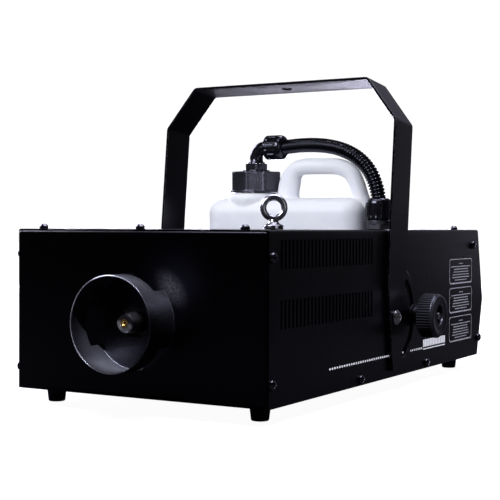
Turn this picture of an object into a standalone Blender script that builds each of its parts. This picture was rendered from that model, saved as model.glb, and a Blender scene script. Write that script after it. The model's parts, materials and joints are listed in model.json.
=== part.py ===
"""Fog machine: a sheet-metal housing with a heater behind a nozzle shroud, a fluid
bottle standing in a well in its top, and a tilting yoke held by two clamping knobs.

The front faces -Y, the origin is on the floor under the middle, and sizes are metres.
"""
import math

import bmesh
import bpy
from mathutils import Matrix, Vector

# Housing
HOUSING_W = 0.2975
HOUSING_H = 0.165
HOUSING_L = 0.570
REAR_PEAK = 0.0195          # how far the bend of the rear stands out behind the housing
REAR_PEAK_Z = 0.0732        # height of that bend above the underside
SHEET = 0.0015
GAP = 0.0003                # between pieces that touch
FOLD_R = 0.0025             # outside radius of the sheet's folds
COVER_LAP = 0.003           # cover's front edge behind the front face
SPARE = 0.01                # how far a cutter reaches past what it cuts
SINK = 0.001                # how deep a joined piece sits in its body
CHAMFER = 0.0008
CORNER_R = 0.002            # small outlines and the openings cut for them
PANEL_FLANGE = 0.014
BASE_FLANGE = 0.018

# Vent slots in the cover's sides
VENT_COUNT = 27
VENT_PITCH = 0.0078
VENT_W = 0.0032
VENT_H = 0.0278
VENT_FIRST = 0.0265
VENT_LOW_Z = 0.0717
VENT_HIGH_Z = 0.1279

# Feet
FOOT_H = 0.0155
FOOT_TOP_R = 0.0094
FOOT_LOW_R = 0.0075
FOOT_X = 0.1227
FOOT_FRONT = 0.033          # behind the front face
FOOT_REAR = 0.036           # ahead of the rear's edges

# Nozzle shroud, heater and nozzle
NOZZLE_Z = 0.0747
SHROUD_R = 0.0474
SHROUD_L = 0.040
SHROUD_WALL = 0.0014
SHROUD_LEGS = 3
SHROUD_LEG_ANGLE = math.radians(72.0)
SHROUD_TURN = math.radians(7.0)
SHROUD_WINDOW_L = 0.017
NOZZLE_R = 0.0098
NOZZLE_OUT = 0.0165
NOZZLE_BORE_R = 0.0048
TIP_BORE_R = 0.0013
TIP_L = 0.006
TIP_OUT = 0.0004
PANEL_HOLE_R = 0.0155
HEATER_Y = 0.028
HEATER_L = 0.180
HEATER_W = 0.084
HEATER_H = 0.060
HEATER_BEVEL = 0.006
HEATER_LEG_W = 0.018
HEATER_LEG_INSET = 0.022
BRACKET_FOOT_W = 0.014
THERMOSTAT_R = 0.008
THERMOSTAT_H = 0.007

# Yoke
YOKE_SIDE_GAP = 0.00185     # housing side to the yoke's inner face
YOKE_T = 0.003
YOKE_W = 0.0488
YOKE_LEAN = math.radians(5.7)
YOKE_ARM_H = 0.2206         # pivot to the lower bend
YOKE_TOP_H = 0.2698         # pivot to the bar's top face
YOKE_BAR_X = 0.1162         # half the length of the bar's top face
YOKE_BEND_R = 0.007
YOKE_HOLE_R = 0.0068
YOKE_TAPER_H = 0.045        # where the arm's front edge starts to run back
PIVOT_Y = 0.2847
PIVOT_Z = 0.0673
PLATE_R = 0.0603
SLOT_R = 0.048
SLOT_W = 0.0094
SLOT_END = math.radians(56.4)
BOLT_SHANK_R = 0.0039
BOLT_HOLE_R = 0.0042
BOLT_HEAD_R = 0.0086
BOLT_HEAD_H = 0.0056
BOLT_SOCKET_R = 0.0030
BOLT_SOCKET_D = 0.0026
WASHER_R = 0.0120
REINFORCEMENT_T = 0.003
REINFORCEMENT_H = 0.044
REINFORCEMENT_L = 0.086
REINFORCEMENT_CORNER_R = 0.004
THREAD_BOSS_R = 0.0085
THREAD_BOSS_H = 0.006

# Clamping knobs
KNOB_R = 0.0252
KNOB_T = 0.0197
KNOB_STAND_OFF = 0.0146     # yoke's outer face to the back of the knob
KNOB_FLUTES = 30
KNOB_FLUTE_D = 0.0014
KNOB_RECESS_R = 0.0178
KNOB_RECESS_D = 0.0026
KNOB_ROUND = 0.0030
STUD_OUT = 0.0015
COLLAR_R = 0.0095
COLLAR_FLANGE_R = 0.0125
COLLAR_FLANGE_T = 0.003

# Bottle and its well
BOTTLE_Y = 0.3205
BOTTLE_HALF_L = 0.1045
BOTTLE_HALF_W = 0.0340
BOTTLE_CORNER_R = 0.0245
BOTTLE_SHOULDER = 0.0362    # housing top to the bottle's shoulder
BOTTLE_SINK = 0.0880        # housing top to the bottle's underside
BOTTLE_FOOT_R = 0.006
BOTTLE_TOP_R = 0.0200
BOTTLE_WALL = 0.0018
NECK_X = -0.0470
NECK_COLLAR_R = 0.0268
NECK_COLLAR_H = 0.0078
NECK_R = 0.0235
NECK_H = 0.030
NECK_WALL = 0.0025
NECK_SINK = 0.008
GRIP_LEFT_X = 0.0010
GRIP_RIGHT_X = 0.0905
GRIP_TOP = 0.0740           # housing top to the handle's centre line
GRIP_R = 0.0094
GRIP_FOOT = 0.022           # housing top to the ends of that line, inside the body
GRIP_LEAN = 0.004
GRIP_TURN_LEFT = 0.018      # lengths of the handle's two bends
GRIP_TURN_RIGHT = 0.030
WELL_CLEAR = 0.0012
WELL_RIM = 0.005

# Cap, fittings and hose
CAP_FACETS = 8
CAP_FLAT_R = 0.0294
CAP_R = 0.0309
CAP_H = 0.0257
CAP_TOP_T = 0.003
CAP_FLANGE_R = 0.0320
CAP_FLANGE_T = 0.0022
CAP_STEM_R = 0.0062
CAP_STEM_OUT = 0.006         # stem below the cap's top plate
CAP_EDGE = 0.0014
HEX_NUT_R = 0.0150
HEX_NUT_H = 0.0095
ELBOW_R = 0.0080
ELBOW_BEND_R = 0.0125
HOSE_R = 0.0081
HOSE_Z = 0.0990             # housing top to the hose's centre line at the elbow
ELBOW_NUT_R = 0.0148
ELBOW_NUT_L = 0.0245
ELBOW_NUT_LEAD = 0.0155     # cap's axis to the nut's near end
NUT_DOME = 0.005            # length of the rounded end of either hose nut
NUT_LIP = 0.004             # how far that end closes in
HOSE_GRIP = 0.006           # hose length inside each nut
HOSE_PULL_X = 0.090         # how strongly the hose keeps its direction at the elbow
HOSE_PULL_Z = 0.054         # and at the gland
HOSE_RISE = 0.006
GLAND_X = 0.1250
GLAND_Y = 0.300
GLAND_HEX_R = 0.0150
GLAND_HEX_H = 0.0064
GLAND_NECK_R = 0.0107
GLAND_NECK_H = 0.0042
GLAND_NUT_R = 0.0150
GLAND_NUT_H = 0.0250
GLAND_THREAD_R = 0.0080
GLAND_THREAD_L = 0.012
LOCKNUT_R = 0.0130
LOCKNUT_H = 0.004
FLUID_TUBE_R = 0.0030
FILTER_R = 0.0070
FILTER_L = 0.016
FILTER_EDGE = 0.002

# Eye bolt
EYE_X = 0.1310
EYE_Y = 0.043
EYE_RING_R = 0.0113         # to the middle of the ring's wire
EYE_WIRE_R = 0.0028
EYE_RING_Z = 0.0203         # housing top to the ring's centre
EYE_COLLAR_R = 0.0090
EYE_COLLAR_H = 0.0022
EYE_NECK_R = 0.0052
EYE_SHANK_R = 0.0030
EYE_SHANK_L = 0.010

# Pump, tubes and control board
PUMP_X = 0.060
PUMP_REAR = 0.106           # pump's rear end ahead of the rear's edges
PUMP_Z = 0.036
PUMP_R = 0.019
PUMP_L = 0.062
PUMP_NIPPLE_R = 0.0036
PUMP_NIPPLE_L = 0.011
PUMP_CRADLE_L = 0.036
TUBE_END = 0.006            # straight length of a tube at each fitting
TUBE_LOOP = 0.040           # how far the draw tube loops behind the pump
BOARD_X = -0.078
BOARD_REAR = 0.040          # board's rear edge ahead of the rear's edges
BOARD_W = 0.096
BOARD_L = 0.110
BOARD_T = 0.0016
BOARD_STAND = 0.014
BOARD_PART_H = 0.028        # tallest part on the board

# Rear panel fittings (x as seen from behind, y up the slope from the face's middle)
DISPLAY_W = 0.124
DISPLAY_H = 0.054
DISPLAY_T = 0.0022
DISPLAY_LAP = 0.006         # display's edge to the opening behind it
DISPLAY_BOARD_GAP = 0.0035
DISPLAY_POST_R = 0.0020
DISPLAY_SWITCH_R = 0.0030
WINDOW_W = 0.064
WINDOW_H = 0.021
WINDOW_D = 0.0008
WINDOW_Y = 0.010
BUTTON_R = 0.0042
BUTTON_PITCH = 0.023
BUTTON_Y = -0.0145
BUTTON_OUT = 0.0018
BUTTON_TRAVEL = 0.0010
BUTTON_FLANGE_R = 0.0056
BUTTON_FLANGE_T = 0.0012
INLET_X = -0.096
INLET_W = 0.048
INLET_H = 0.028
INLET_T = 0.003
INLET_BODY_W = 0.0275
INLET_BODY_H = 0.0200
INLET_DEPTH = 0.024
INLET_WALL = 0.0016
INLET_FLOOR = 0.006
INLET_PIN = (0.001, 0.002)  # half width and half height of a pin
INLET_PIN_L = 0.015
INLET_PIN_X = 0.007
INLET_PIN_Y = (-0.002, 0.003)
FUSE_X = -0.050
FUSE_R = 0.0085
FUSE_BODY_R = 0.0062
FUSE_BODY_L = 0.026
FUSE_CAP_R = 0.0070
FUSE_CAP_H = 0.0032
FUSE_LIP = 0.0024
FUSE_SLOT = (0.0045, 0.0006, 0.0012)  # half length, half width, depth
SWITCH_X = -0.012
SWITCH_W = 0.021
SWITCH_H = 0.030
SWITCH_T = 0.0020
SWITCH_DEPTH = 0.018
SWITCH_LAP = 0.001          # switch's edge to the opening behind it
SWITCH_WELL_D = 0.0095
ROCKER_W = 0.0125
ROCKER_H = 0.0205
ROCKER_TILT = math.radians(8.0)
ROCKER_AXIS_D = 0.0022      # axis behind the frame's back
ROCKER_TOP = 0.0036
ROCKER_BELLY = 0.0045
ROCKER_CLEAR = 0.0006
SOCKET_X = (0.046, 0.084)
SOCKET_W = 0.026
SOCKET_H = 0.031
SOCKET_T = 0.0022
SOCKET_BORE_R = 0.0085
SOCKET_BODY_R = 0.0112
SOCKET_DEPTH = 0.020
SOCKET_FLOOR = 0.003

# Worked out from the sizes above
FRONT = -(HOUSING_L + REAR_PEAK - SHROUD_L) / 2
UNDER = FOOT_H
TOP = UNDER + HOUSING_H
SIDE_X = HOUSING_W / 2
INNER_X = SIDE_X - SHEET - GAP
FLOOR_TOP = UNDER + SHEET
PANEL_LOW = FLOOR_TOP + GAP
PANEL_HIGH = TOP - SHEET - GAP
YOKE_IN_X = SIDE_X + YOKE_SIDE_GAP
YOKE_OUT_X = YOKE_IN_X + YOKE_T
PIVOT = (FRONT + PIVOT_Y, UNDER + PIVOT_Z)
STUD = (PIVOT[0] + SLOT_R, PIVOT[1])
BOTTLE_AXIS = FRONT + BOTTLE_Y
CAP_LOW = TOP + BOTTLE_SHOULDER + NECK_COLLAR_H + GAP
CAP_HIGH = CAP_LOW + CAP_H
HOSE_START = Vector((NECK_X + ELBOW_NUT_LEAD + ELBOW_NUT_L, BOTTLE_AXIS, TOP + HOSE_Z))
GLAND_TOP = TOP + GAP + GLAND_HEX_H + GLAND_NECK_H + GLAND_NUT_H
HOSE_END = Vector((GLAND_X, FRONT + GLAND_Y, GLAND_TOP))


# ---------------------------------------------------------------- materials

def make_finish(name, colour, roughness, metallic=0.0):
    """A plain Principled material."""
    material = bpy.data.materials.new(name)
    material.use_nodes = True
    shader = material.node_tree.nodes["Principled BSDF"]
    shader.inputs["Base Color"].default_value = (*colour, 1.0)
    shader.inputs["Roughness"].default_value = roughness
    shader.inputs["Metallic"].default_value = metallic
    material.diffuse_color = (*colour, 1.0)
    return material


def make_finishes():
    """Every finish on the machine, by name."""
    return {
        "black_coat": make_finish("black_coat", (0.014, 0.014, 0.016), 0.45),
        "bare_steel": make_finish("bare_steel", (0.55, 0.55, 0.56), 0.35, 1.0),
        "chrome": make_finish("chrome", (0.80, 0.80, 0.82), 0.08, 1.0),
        "cast_aluminium": make_finish("cast_aluminium", (0.60, 0.60, 0.61), 0.50, 1.0),
        "brass": make_finish("brass", (0.72, 0.52, 0.22), 0.30, 1.0),
        "rubber": make_finish("rubber", (0.010, 0.010, 0.010), 0.85),
        "hose_plastic": make_finish("hose_plastic", (0.012, 0.012, 0.013), 0.30),
        "milky_plastic": make_finish("milky_plastic", (0.82, 0.84, 0.88), 0.35),
        "gloss_plastic": make_finish("gloss_plastic", (0.010, 0.010, 0.011), 0.18),
        "knob_plastic": make_finish("knob_plastic", (0.018, 0.018, 0.020), 0.40),
        "clear_tube": make_finish("clear_tube", (0.75, 0.76, 0.74), 0.25),
        "board_green": make_finish("board_green", (0.02, 0.16, 0.07), 0.45),
    }


# ---------------------------------------------------------------- outlines

def arc(radius, start, end, steps, centre=(0.0, 0.0)):
    """Points of an arc from one angle to another, both ends included."""
    angles = [start + (end - start) * i / steps for i in range(steps + 1)]
    return [(centre[0] + radius * math.cos(a), centre[1] + radius * math.sin(a)) for a in angles]


def circle(radius, segments):
    """Points once round a circle, first point not repeated."""
    return arc(radius, 0.0, math.tau, segments)[:-1]


def rectangle(half_w, half_h, radius, steps=4):
    """A rectangle with rounded corners, anticlockwise, centred on zero."""
    points = []
    corners = ((1, 1, 0.0), (-1, 1, 0.5), (-1, -1, 1.0), (1, -1, 1.5))
    for side_x, side_y, turn in corners:
        centre = (side_x * (half_w - radius), side_y * (half_h - radius))
        points += arc(radius, turn * math.pi, (turn + 0.5) * math.pi, steps, centre)
    return points


def hexagon(corner_r):
    return circle(corner_r, 6)


def shifted(points, x=0.0, y=0.0):
    return [(px + x, py + y) for px, py in points]


def offset_path(points, distance):
    """The open path moved to its left by a distance, corners mitred."""
    points = [Vector(p) for p in points]
    normals = [Vector((a.y - b.y, b.x - a.x)).normalized() for a, b in zip(points, points[1:])]
    moved = [points[0] + distance * normals[0]]
    for point, before, after in zip(points[1:], normals, normals[1:]):
        moved.append(point + distance * (before + after) / (1.0 + before.dot(after)))
    moved.append(points[-1] + distance * normals[-1])
    return moved


def round_path(points, left_r, right_r, steps=4):
    """The open path with its corners rounded; the radius depends on the way it turns."""
    points = [Vector(p) for p in points]
    smooth = [points[0]]
    for before, corner, after in zip(points, points[1:], points[2:]):
        inward = (corner - before).normalized()
        outward = (after - corner).normalized()
        turn = math.atan2(inward.x * outward.y - inward.y * outward.x, inward.dot(outward))
        radius = left_r if turn > 0 else right_r
        reach = radius * math.tan(abs(turn) / 2)
        middle = corner - inward * reach + math.copysign(radius, turn) * Vector((-inward.y, inward.x))
        spoke = corner - inward * reach - middle
        for i in range(steps + 1):
            angle = turn * i / steps
            swung = Matrix.Rotation(angle, 2) @ spoke
            smooth.append(middle + swung)
    smooth.append(points[-1])
    return smooth


def folded_outline(path, thickness, fold_r, steps=4):
    """Closed outline of a folded sheet whose left face lies a thickness off the path."""
    inside = max(fold_r - thickness, thickness * 0.2)
    near = round_path(path, inside + thickness, inside, steps)
    far = round_path(offset_path(path, thickness), inside, inside + thickness, steps)
    return [tuple(p) for p in near + far[::-1]]


def smooth_route(points, steps=6):
    """A Catmull-Rom curve through the points."""
    points = [Vector(p) for p in points]
    ends = [2 * points[0] - points[1]] + points + [2 * points[-1] - points[-2]]
    route = []
    for a, b, c, d in zip(ends, ends[1:], ends[2:], ends[3:]):
        for i in range(steps):
            t = i / steps
            route.append(0.5 * (2 * b + (c - a) * t + (2 * a - 5 * b + 4 * c - d) * t ** 2
                                + (3 * b - a - 3 * c + d) * t ** 3))
    return route + [points[-1]]


# ---------------------------------------------------------------- solids

def frame_at(origin, out=(0, 0, 1), right=(1, 0, 0)):
    """A frame whose Z points out and whose X lies as near as it can to right."""
    z = Vector(out).normalized()
    x = Vector(right)
    x = (x - x.dot(z) * z).normalized()
    y = z.cross(x)
    turned_axes = Matrix((x, y, z)).transposed().to_4x4()
    return Matrix.Translation(origin) @ turned_axes


def place(name, bm, frame, material):
    """One object from a bmesh, faces outward, shaded smooth up to 35 degrees."""
    bmesh.ops.recalc_face_normals(bm, faces=bm.faces)
    mesh = bpy.data.meshes.new(name)
    bm.to_mesh(mesh)
    bm.free()
    mesh.shade_smooth()
    mesh.set_sharp_from_angle(angle=math.radians(35.0))
    if material:
        mesh.materials.append(material)
    obj = bpy.data.objects.new(name, mesh)
    obj.matrix_world = frame
    bpy.context.scene.collection.objects.link(obj)
    return obj


def lofted(name, rings, frame, material, hollow=False):
    """A skin over rings of equally many points, capped, or closed on itself if hollow."""
    bm = bmesh.new()
    loops = [[bm.verts.new(p) for p in ring] for ring in rings]
    pairs = list(zip(loops, loops[1:]))
    if hollow:
        pairs.append((loops[-1], loops[0]))
    for low, high in pairs:
        for i in range(len(low)):
            j = (i + 1) % len(low)
            bm.faces.new((low[i], low[j], high[j], high[i]))
    if not hollow:
        bm.faces.new(loops[0][::-1])
        bm.faces.new(loops[-1])
    return place(name, bm, frame, material)


def turned(name, profile, frame, material, segments=32, hollow=False):
    """A turned piece about its local Z from (radius, height) points."""
    rings = [[(x, y, z) for x, y in circle(r, segments)] for r, z in profile]
    return lofted(name, rings, frame, material, hollow)


def prism(name, outline, depth, frame, material):
    """An outline in local XY pushed along local Z by a depth."""
    rings = [[(x, y, z) for x, y in outline] for z in (0.0, depth)]
    return lofted(name, rings, frame, material)


def box(name, low, high, material):
    """An upright box between two corners."""
    middle = (Vector(low) + Vector(high)) / 2
    half = (Vector(high) - Vector(low)) / 2
    bm = bmesh.new()
    bmesh.ops.create_cube(bm, size=2.0, matrix=Matrix.Diagonal((*half, 1.0)))
    return place(name, bm, Matrix.Translation(middle), material)


def swept(name, route, radius, material, segments=12):
    """A round bar along a route, its rings carried without twist."""
    route = [Vector(p) for p in route]
    side = None
    rings = []
    for i, point in enumerate(route):
        ahead = (route[min(i + 1, len(route) - 1)] - route[max(i - 1, 0)]).normalized()
        side = ahead.orthogonal() if side is None else side - side.dot(ahead) * ahead
        side.normalize()
        across = ahead.cross(side)
        rings.append([point + side * x + across * y for x, y in circle(radius, segments)])
    return lofted(name, rings, Matrix(), material)


def combine(obj, operation, others):
    """Boolean modifiers on an object, with hidden operands."""
    for other in others:
        other.hide_render = True
        other.display_type = "WIRE"
        modifier = obj.modifiers.new(operation.title(), "BOOLEAN")
        modifier.operation = operation
        modifier.solver = "EXACT"
        modifier.object = other
    return obj


def cut(obj, *cutters):
    return combine(obj, "DIFFERENCE", cutters)


def join(obj, *others):
    return combine(obj, "UNION", others)


def bevel(obj, width, segments=2):
    modifier = obj.modifiers.new("Bevel", "BEVEL")
    modifier.width = width
    modifier.segments = segments
    modifier.limit_method = "ANGLE"
    modifier.angle_limit = math.radians(50.0)
    return obj


def drum(name, radius, low, high, frame, material=None, segments=32):
    return turned(name, [(radius, low), (radius, high)], frame, material, segments)


def along_x(name, radius, x_low, x_high, y, z, material=None, segments=24):
    """A drum across the machine."""
    frame = frame_at((0.0, y, z), (1, 0, 0), (0, 1, 0))
    return drum(name, radius, x_low, x_high, frame, material, segments)


def side_prism(name, outline, x_low, x_high, material=None):
    """An outline in world (y, z) pushed across the machine."""
    frame = frame_at((x_low, 0, 0), (1, 0, 0), (0, 1, 0))
    return prism(name, outline, x_high - x_low, frame, material)


def front_prism(name, outline, y_low, y_high, material=None):
    """An outline in world (x, z) pushed from front to rear."""
    frame = frame_at((0, y_low, 0), (0, 1, 0), (-1, 0, 0))
    mirrored = [(-x, z) for x, z in outline]
    return prism(name, mirrored, y_high - y_low, frame, material)


# ---------------------------------------------------------------- housing

def rear_line(height):
    """Distance of the rear's outer face behind the front, at a height above the underside."""
    if height > REAR_PEAK_Z:
        share = (HOUSING_H - height) / (HOUSING_H - REAR_PEAK_Z)
    else:
        share = height / REAR_PEAK_Z
    return HOUSING_L + REAR_PEAK * share


def rear_outline(inset, reach):
    """Outline of the rear's box in (y, z), inset all round and reaching forward."""
    low = PANEL_LOW + inset
    high = PANEL_HIGH - inset
    points = [(HOUSING_L - PANEL_FLANGE - reach, low)]
    for height in (low - UNDER, REAR_PEAK_Z, high - UNDER):
        points.append((rear_line(height) - inset, UNDER + height))
    points.append((HOUSING_L - PANEL_FLANGE - reach, high))
    return [(FRONT + y, z) for y, z in points]


def top_cover(finish):
    path = [(-SIDE_X, UNDER), (-SIDE_X, TOP), (SIDE_X, TOP), (SIDE_X, UNDER)]
    outline = folded_outline(path[::-1], SHEET, FOLD_R)
    front = FRONT + COVER_LAP
    cover = front_prism("top_cover", outline, front, FRONT + HOUSING_L + REAR_PEAK, finish["black_coat"])
    end = FRONT + HOUSING_L
    peak = (end + REAR_PEAK, UNDER + REAR_PEAK_Z)
    rise = REAR_PEAK / (HOUSING_H - REAR_PEAK_Z) * SPARE
    fall = REAR_PEAK / REAR_PEAK_Z * SPARE
    notch = [peak, (end - rise, TOP + SPARE), (peak[0] + SPARE, TOP + SPARE),
             (peak[0] + SPARE, UNDER - SPARE), (end - fall, UNDER - SPARE)]
    rear_cut = side_prism("cover_rear_cutter", notch, -SIDE_X - SPARE, SIDE_X + SPARE)
    bm = bmesh.new()
    for row in (VENT_LOW_Z, VENT_HIGH_Z):
        for i in range(VENT_COUNT):
            centre = (0.0, FRONT + VENT_FIRST + i * VENT_PITCH, UNDER + row + VENT_H / 2)
            size = Matrix.Diagonal((HOUSING_W + SPARE, VENT_W, VENT_H, 1.0))
            bmesh.ops.create_cube(bm, size=1.0, matrix=Matrix.Translation(centre) @ size)
    vents = place("vent_cutter", bm, Matrix(), None)
    mouth = rectangle(BOTTLE_HALF_L + WELL_CLEAR, BOTTLE_HALF_W + WELL_CLEAR, BOTTLE_CORNER_R + WELL_CLEAR)
    well = prism("cover_well_cutter", mouth, SPARE, frame_at((0, BOTTLE_AXIS, TOP - SPARE / 2)), None)
    gland = drum("cover_gland_cutter", GLAND_THREAD_R + GAP, -SPARE, SPARE,
                 frame_at((GLAND_X, FRONT + GLAND_Y, TOP)))
    eye = drum("cover_eye_cutter", EYE_SHANK_R + GAP, -SPARE, SPARE,
               frame_at((EYE_X, FRONT + EYE_Y, TOP)), segments=16)
    reach = SIDE_X + SPARE
    pivots = along_x("cover_pivot_cutter", BOLT_HOLE_R, -reach, reach, *PIVOT, segments=16)
    studs = along_x("cover_stud_cutter", BOLT_HOLE_R, -reach, reach, *STUD, segments=16)
    return cut(cover, rear_cut, vents, well, gland, eye, pivots, studs)


def base_pan(finish):
    path = [(-INNER_X, UNDER + BASE_FLANGE), (-INNER_X, UNDER), (INNER_X, UNDER),
            (INNER_X, UNDER + BASE_FLANGE)]
    outline = folded_outline(path, SHEET, FOLD_R)
    pan = front_prism("base_pan", outline, FRONT + COVER_LAP, FRONT + HOUSING_L, finish["black_coat"])
    notch = PANEL_FLANGE + GAP
    ends = (("front", FRONT, FRONT + notch), ("rear", FRONT + HOUSING_L - notch, FRONT + HOUSING_L + notch))
    for end, near, far in ends:
        low = (-SIDE_X, near, PANEL_LOW - GAP / 2)
        cut(pan, box(f"base_{end}_cutter", low, (SIDE_X, far, UNDER + 2 * BASE_FLANGE), None))
    return pan


def front_panel(finish):
    """A shallow pan, open to the rear, with rounded folds all round its front."""
    half_w = INNER_X
    half_h = (PANEL_HIGH - PANEL_LOW) / 2
    inner_r = FOLD_R - SHEET
    steps = 3
    rings = []
    for radius, wall in ((FOLD_R, 0.0), (inner_r, SHEET)):
        bend = [(radius - radius * math.cos(a), radius - radius * math.sin(a))
                for a in (i * math.pi / 2 / steps for i in range(steps + 1))]
        ring_set = [(0.0, PANEL_FLANGE)] + bend
        side = []
        for inset, depth in ring_set:
            corner = max(FOLD_R - wall - inset, GAP)
            outline = rectangle(half_w - wall - inset, half_h - wall - inset, corner, 3)
            level = depth if (inset, depth) == ring_set[0] else depth + wall
            side.append([(x, y, -level) for x, y in outline])
        rings.append(side)
    outer, inner = rings
    bm = bmesh.new()
    loops = [[bm.verts.new(p) for p in ring] for ring in outer[::-1] + inner]
    for low, high in zip(loops, loops[1:]):
        for i in range(len(low)):
            j = (i + 1) % len(low)
            bm.faces.new((low[i], low[j], high[j], high[i]))
    bm.faces.new(loops[0][::-1])
    bm.faces.new(loops[-1])
    centre = (0.0, FRONT, (PANEL_HIGH + PANEL_LOW) / 2)
    panel = place("front_panel", bm, frame_at(centre, (0, -1, 0), (1, 0, 0)), finish["black_coat"])
    hole = drum("front_hole_cutter", PANEL_HOLE_R, -PANEL_FLANGE / 2, PANEL_FLANGE / 2, nozzle_frame(0.0))
    return cut(panel, hole)


def rear_face(upper):
    """Frame on the middle of one of the rear's two faces, seen from behind."""
    low, high = (REAR_PEAK_Z, HOUSING_H) if upper else (0.0, REAR_PEAK_Z)
    bottom = Vector((0.0, FRONT + rear_line(low), UNDER + low))
    top = Vector((0.0, FRONT + rear_line(high), UNDER + high))
    slope = top - bottom
    return frame_at((bottom + top) / 2, Vector((-1, 0, 0)).cross(slope), (-1, 0, 0))


def on_rear(upper, x, y, z=0.0):
    """A frame at a place on one of the rear's faces."""
    return rear_face(upper) @ Matrix.Translation((x, y, z))


def rear_panel(finish):
    outer = side_prism("rear_panel", rear_outline(0.0, 0.0), -INNER_X, INNER_X, finish["black_coat"])
    inside = INNER_X - SHEET
    hollow = side_prism("rear_hollow_cutter", rear_outline(SHEET, SPARE), -inside, inside)
    cutters = [hollow]
    window = rectangle(DISPLAY_W / 2 - DISPLAY_LAP, DISPLAY_H / 2 - DISPLAY_LAP, CORNER_R, 2)
    cutters.append(prism("rear_display_cutter", window, 2 * SPARE, on_rear(True, 0, 0, -SPARE), None))
    inlet = rectangle(INLET_BODY_W / 2 + GAP, INLET_BODY_H / 2 + GAP, CORNER_R, 2)
    cutters.append(prism("rear_inlet_cutter", inlet, 2 * SPARE, on_rear(False, INLET_X, 0, -SPARE), None))
    switch = rectangle(SWITCH_W / 2 - SWITCH_LAP, SWITCH_H / 2 - SWITCH_LAP, CORNER_R / 2, 2)
    cutters.append(prism("rear_switch_cutter", switch, 2 * SPARE, on_rear(False, SWITCH_X, 0, -SPARE), None))
    cutters.append(drum("rear_fuse_cutter", FUSE_BODY_R + GAP, -SPARE, SPARE, on_rear(False, FUSE_X, 0),
                        segments=20))
    for i, x in enumerate(SOCKET_X):
        cutters.append(drum(f"rear_socket_cutter_{i}", SOCKET_BODY_R + GAP, -SPARE, SPARE,
                            on_rear(False, x, 0), segments=24))
    return cut(outer, *cutters)


def feet(finish):
    places = [("front", FOOT_FRONT), ("rear", HOUSING_L - FOOT_REAR)]
    for end, distance in places:
        for side, sign in (("left", -1), ("right", 1)):
            profile = [(FOOT_LOW_R, 0.0), (FOOT_TOP_R, FOOT_H * 0.75), (FOOT_TOP_R, FOOT_H - GAP)]
            turned(f"foot_{end}_{side}", profile, frame_at((sign * FOOT_X, FRONT + distance, 0.0)),
                   finish["rubber"], 20)


# ---------------------------------------------------------------- heater and nozzle

def nozzle_frame(distance):
    """Frame on the nozzle's axis, pointing forward, a distance behind the front."""
    return frame_at((0.0, FRONT + distance, UNDER + NOZZLE_Z), (0, -1, 0), (1, 0, 0))


def nozzle_shroud(finish):
    """A thin ring on legs; its windows are sectors cut from the end at the panel."""
    profile = [(SHROUD_R, GAP), (SHROUD_R, SHROUD_L), (SHROUD_R - SHROUD_WALL, SHROUD_L),
               (SHROUD_R - SHROUD_WALL, GAP)]
    shroud = turned("nozzle_shroud", profile, nozzle_frame(0.0), finish["black_coat"], 46, hollow=True)
    pitch = math.tau / SHROUD_LEGS
    window = pitch - SHROUD_LEG_ANGLE
    cutters = []
    for i in range(SHROUD_LEGS):
        start = SHROUD_TURN + i * pitch + SHROUD_LEG_ANGLE / 2
        outline = (arc(SHROUD_R * 1.1, start, start + window, 8)
                   + arc(SHROUD_R * 0.8, start + window, start, 8))
        cutters.append(prism(f"shroud_window_cutter_{i}", outline, SHROUD_WINDOW_L + GAP,
                             nozzle_frame(GAP), None))
    return cut(shroud, *cutters)


def heater(finish):
    near = FRONT + HEATER_Y
    middle = UNDER + NOZZLE_Z
    low = (-HEATER_W / 2, near, middle - HEATER_H / 2)
    high = (HEATER_W / 2, near + HEATER_L, middle + HEATER_H / 2)
    bevel(box("heater_block", low, high, finish["cast_aluminium"]), HEATER_BEVEL, 2)
    length = HEATER_Y + NOZZLE_OUT - GAP
    profile = [(NOZZLE_R, GAP), (NOZZLE_R, length - 2 * CHAMFER), (NOZZLE_R - 2 * CHAMFER, length),
               (NOZZLE_BORE_R, length), (NOZZLE_BORE_R, GAP)]
    turned("heater_nozzle", profile, nozzle_frame(HEATER_Y), finish["bare_steel"], 28, hollow=True)
    tip = [(NOZZLE_BORE_R - GAP, length - TIP_L), (NOZZLE_BORE_R - GAP, length + TIP_OUT),
           (TIP_BORE_R * 1.6, length + TIP_OUT), (TIP_BORE_R, length - CHAMFER), (TIP_BORE_R, length - TIP_L)]
    turned("nozzle_tip", tip, nozzle_frame(HEATER_Y), finish["brass"], 20, hollow=True)
    seat = middle - HEATER_H / 2 - GAP
    last = near + HEATER_L - HEATER_LEG_INSET - HEATER_LEG_W
    for name, y in (("heater_bracket_front", near + HEATER_LEG_INSET), ("heater_bracket_rear", last)):
        hat_bracket(name, 0.0, HEATER_W / 2, seat, y, y + HEATER_LEG_W, finish)
    disc = [(THERMOSTAT_R, 0.0), (THERMOSTAT_R, THERMOSTAT_H * 0.6), (THERMOSTAT_R * 0.6, THERMOSTAT_H)]
    turned("thermostat", disc, frame_at((0.0, near + HEATER_L * 0.6, high[2] + GAP)), finish["bare_steel"], 20)


def hat_bracket(name, x, half_w, seat, y_low, y_high, finish):
    """A folded hat standing on the base pan, its crown's top at the seat."""
    foot = BRACKET_FOOT_W
    floor = FLOOR_TOP + GAP + SHEET
    path = [(x - half_w - foot, floor), (x - half_w, floor), (x - half_w, seat), (x + half_w, seat),
            (x + half_w, floor), (x + half_w + foot, floor)]
    outline = folded_outline(path[::-1], SHEET, FOLD_R, 2)
    return front_prism(name, outline, y_low, y_high, finish["bare_steel"])


# ---------------------------------------------------------------- yoke

def yoke_frame():
    """Frame on the pivot axis, leaning with the yoke; X across, Z up the arms."""
    return Matrix.Translation((0.0, *PIVOT)) @ Matrix.Rotation(-YOKE_LEAN, 4, "X")


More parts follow.
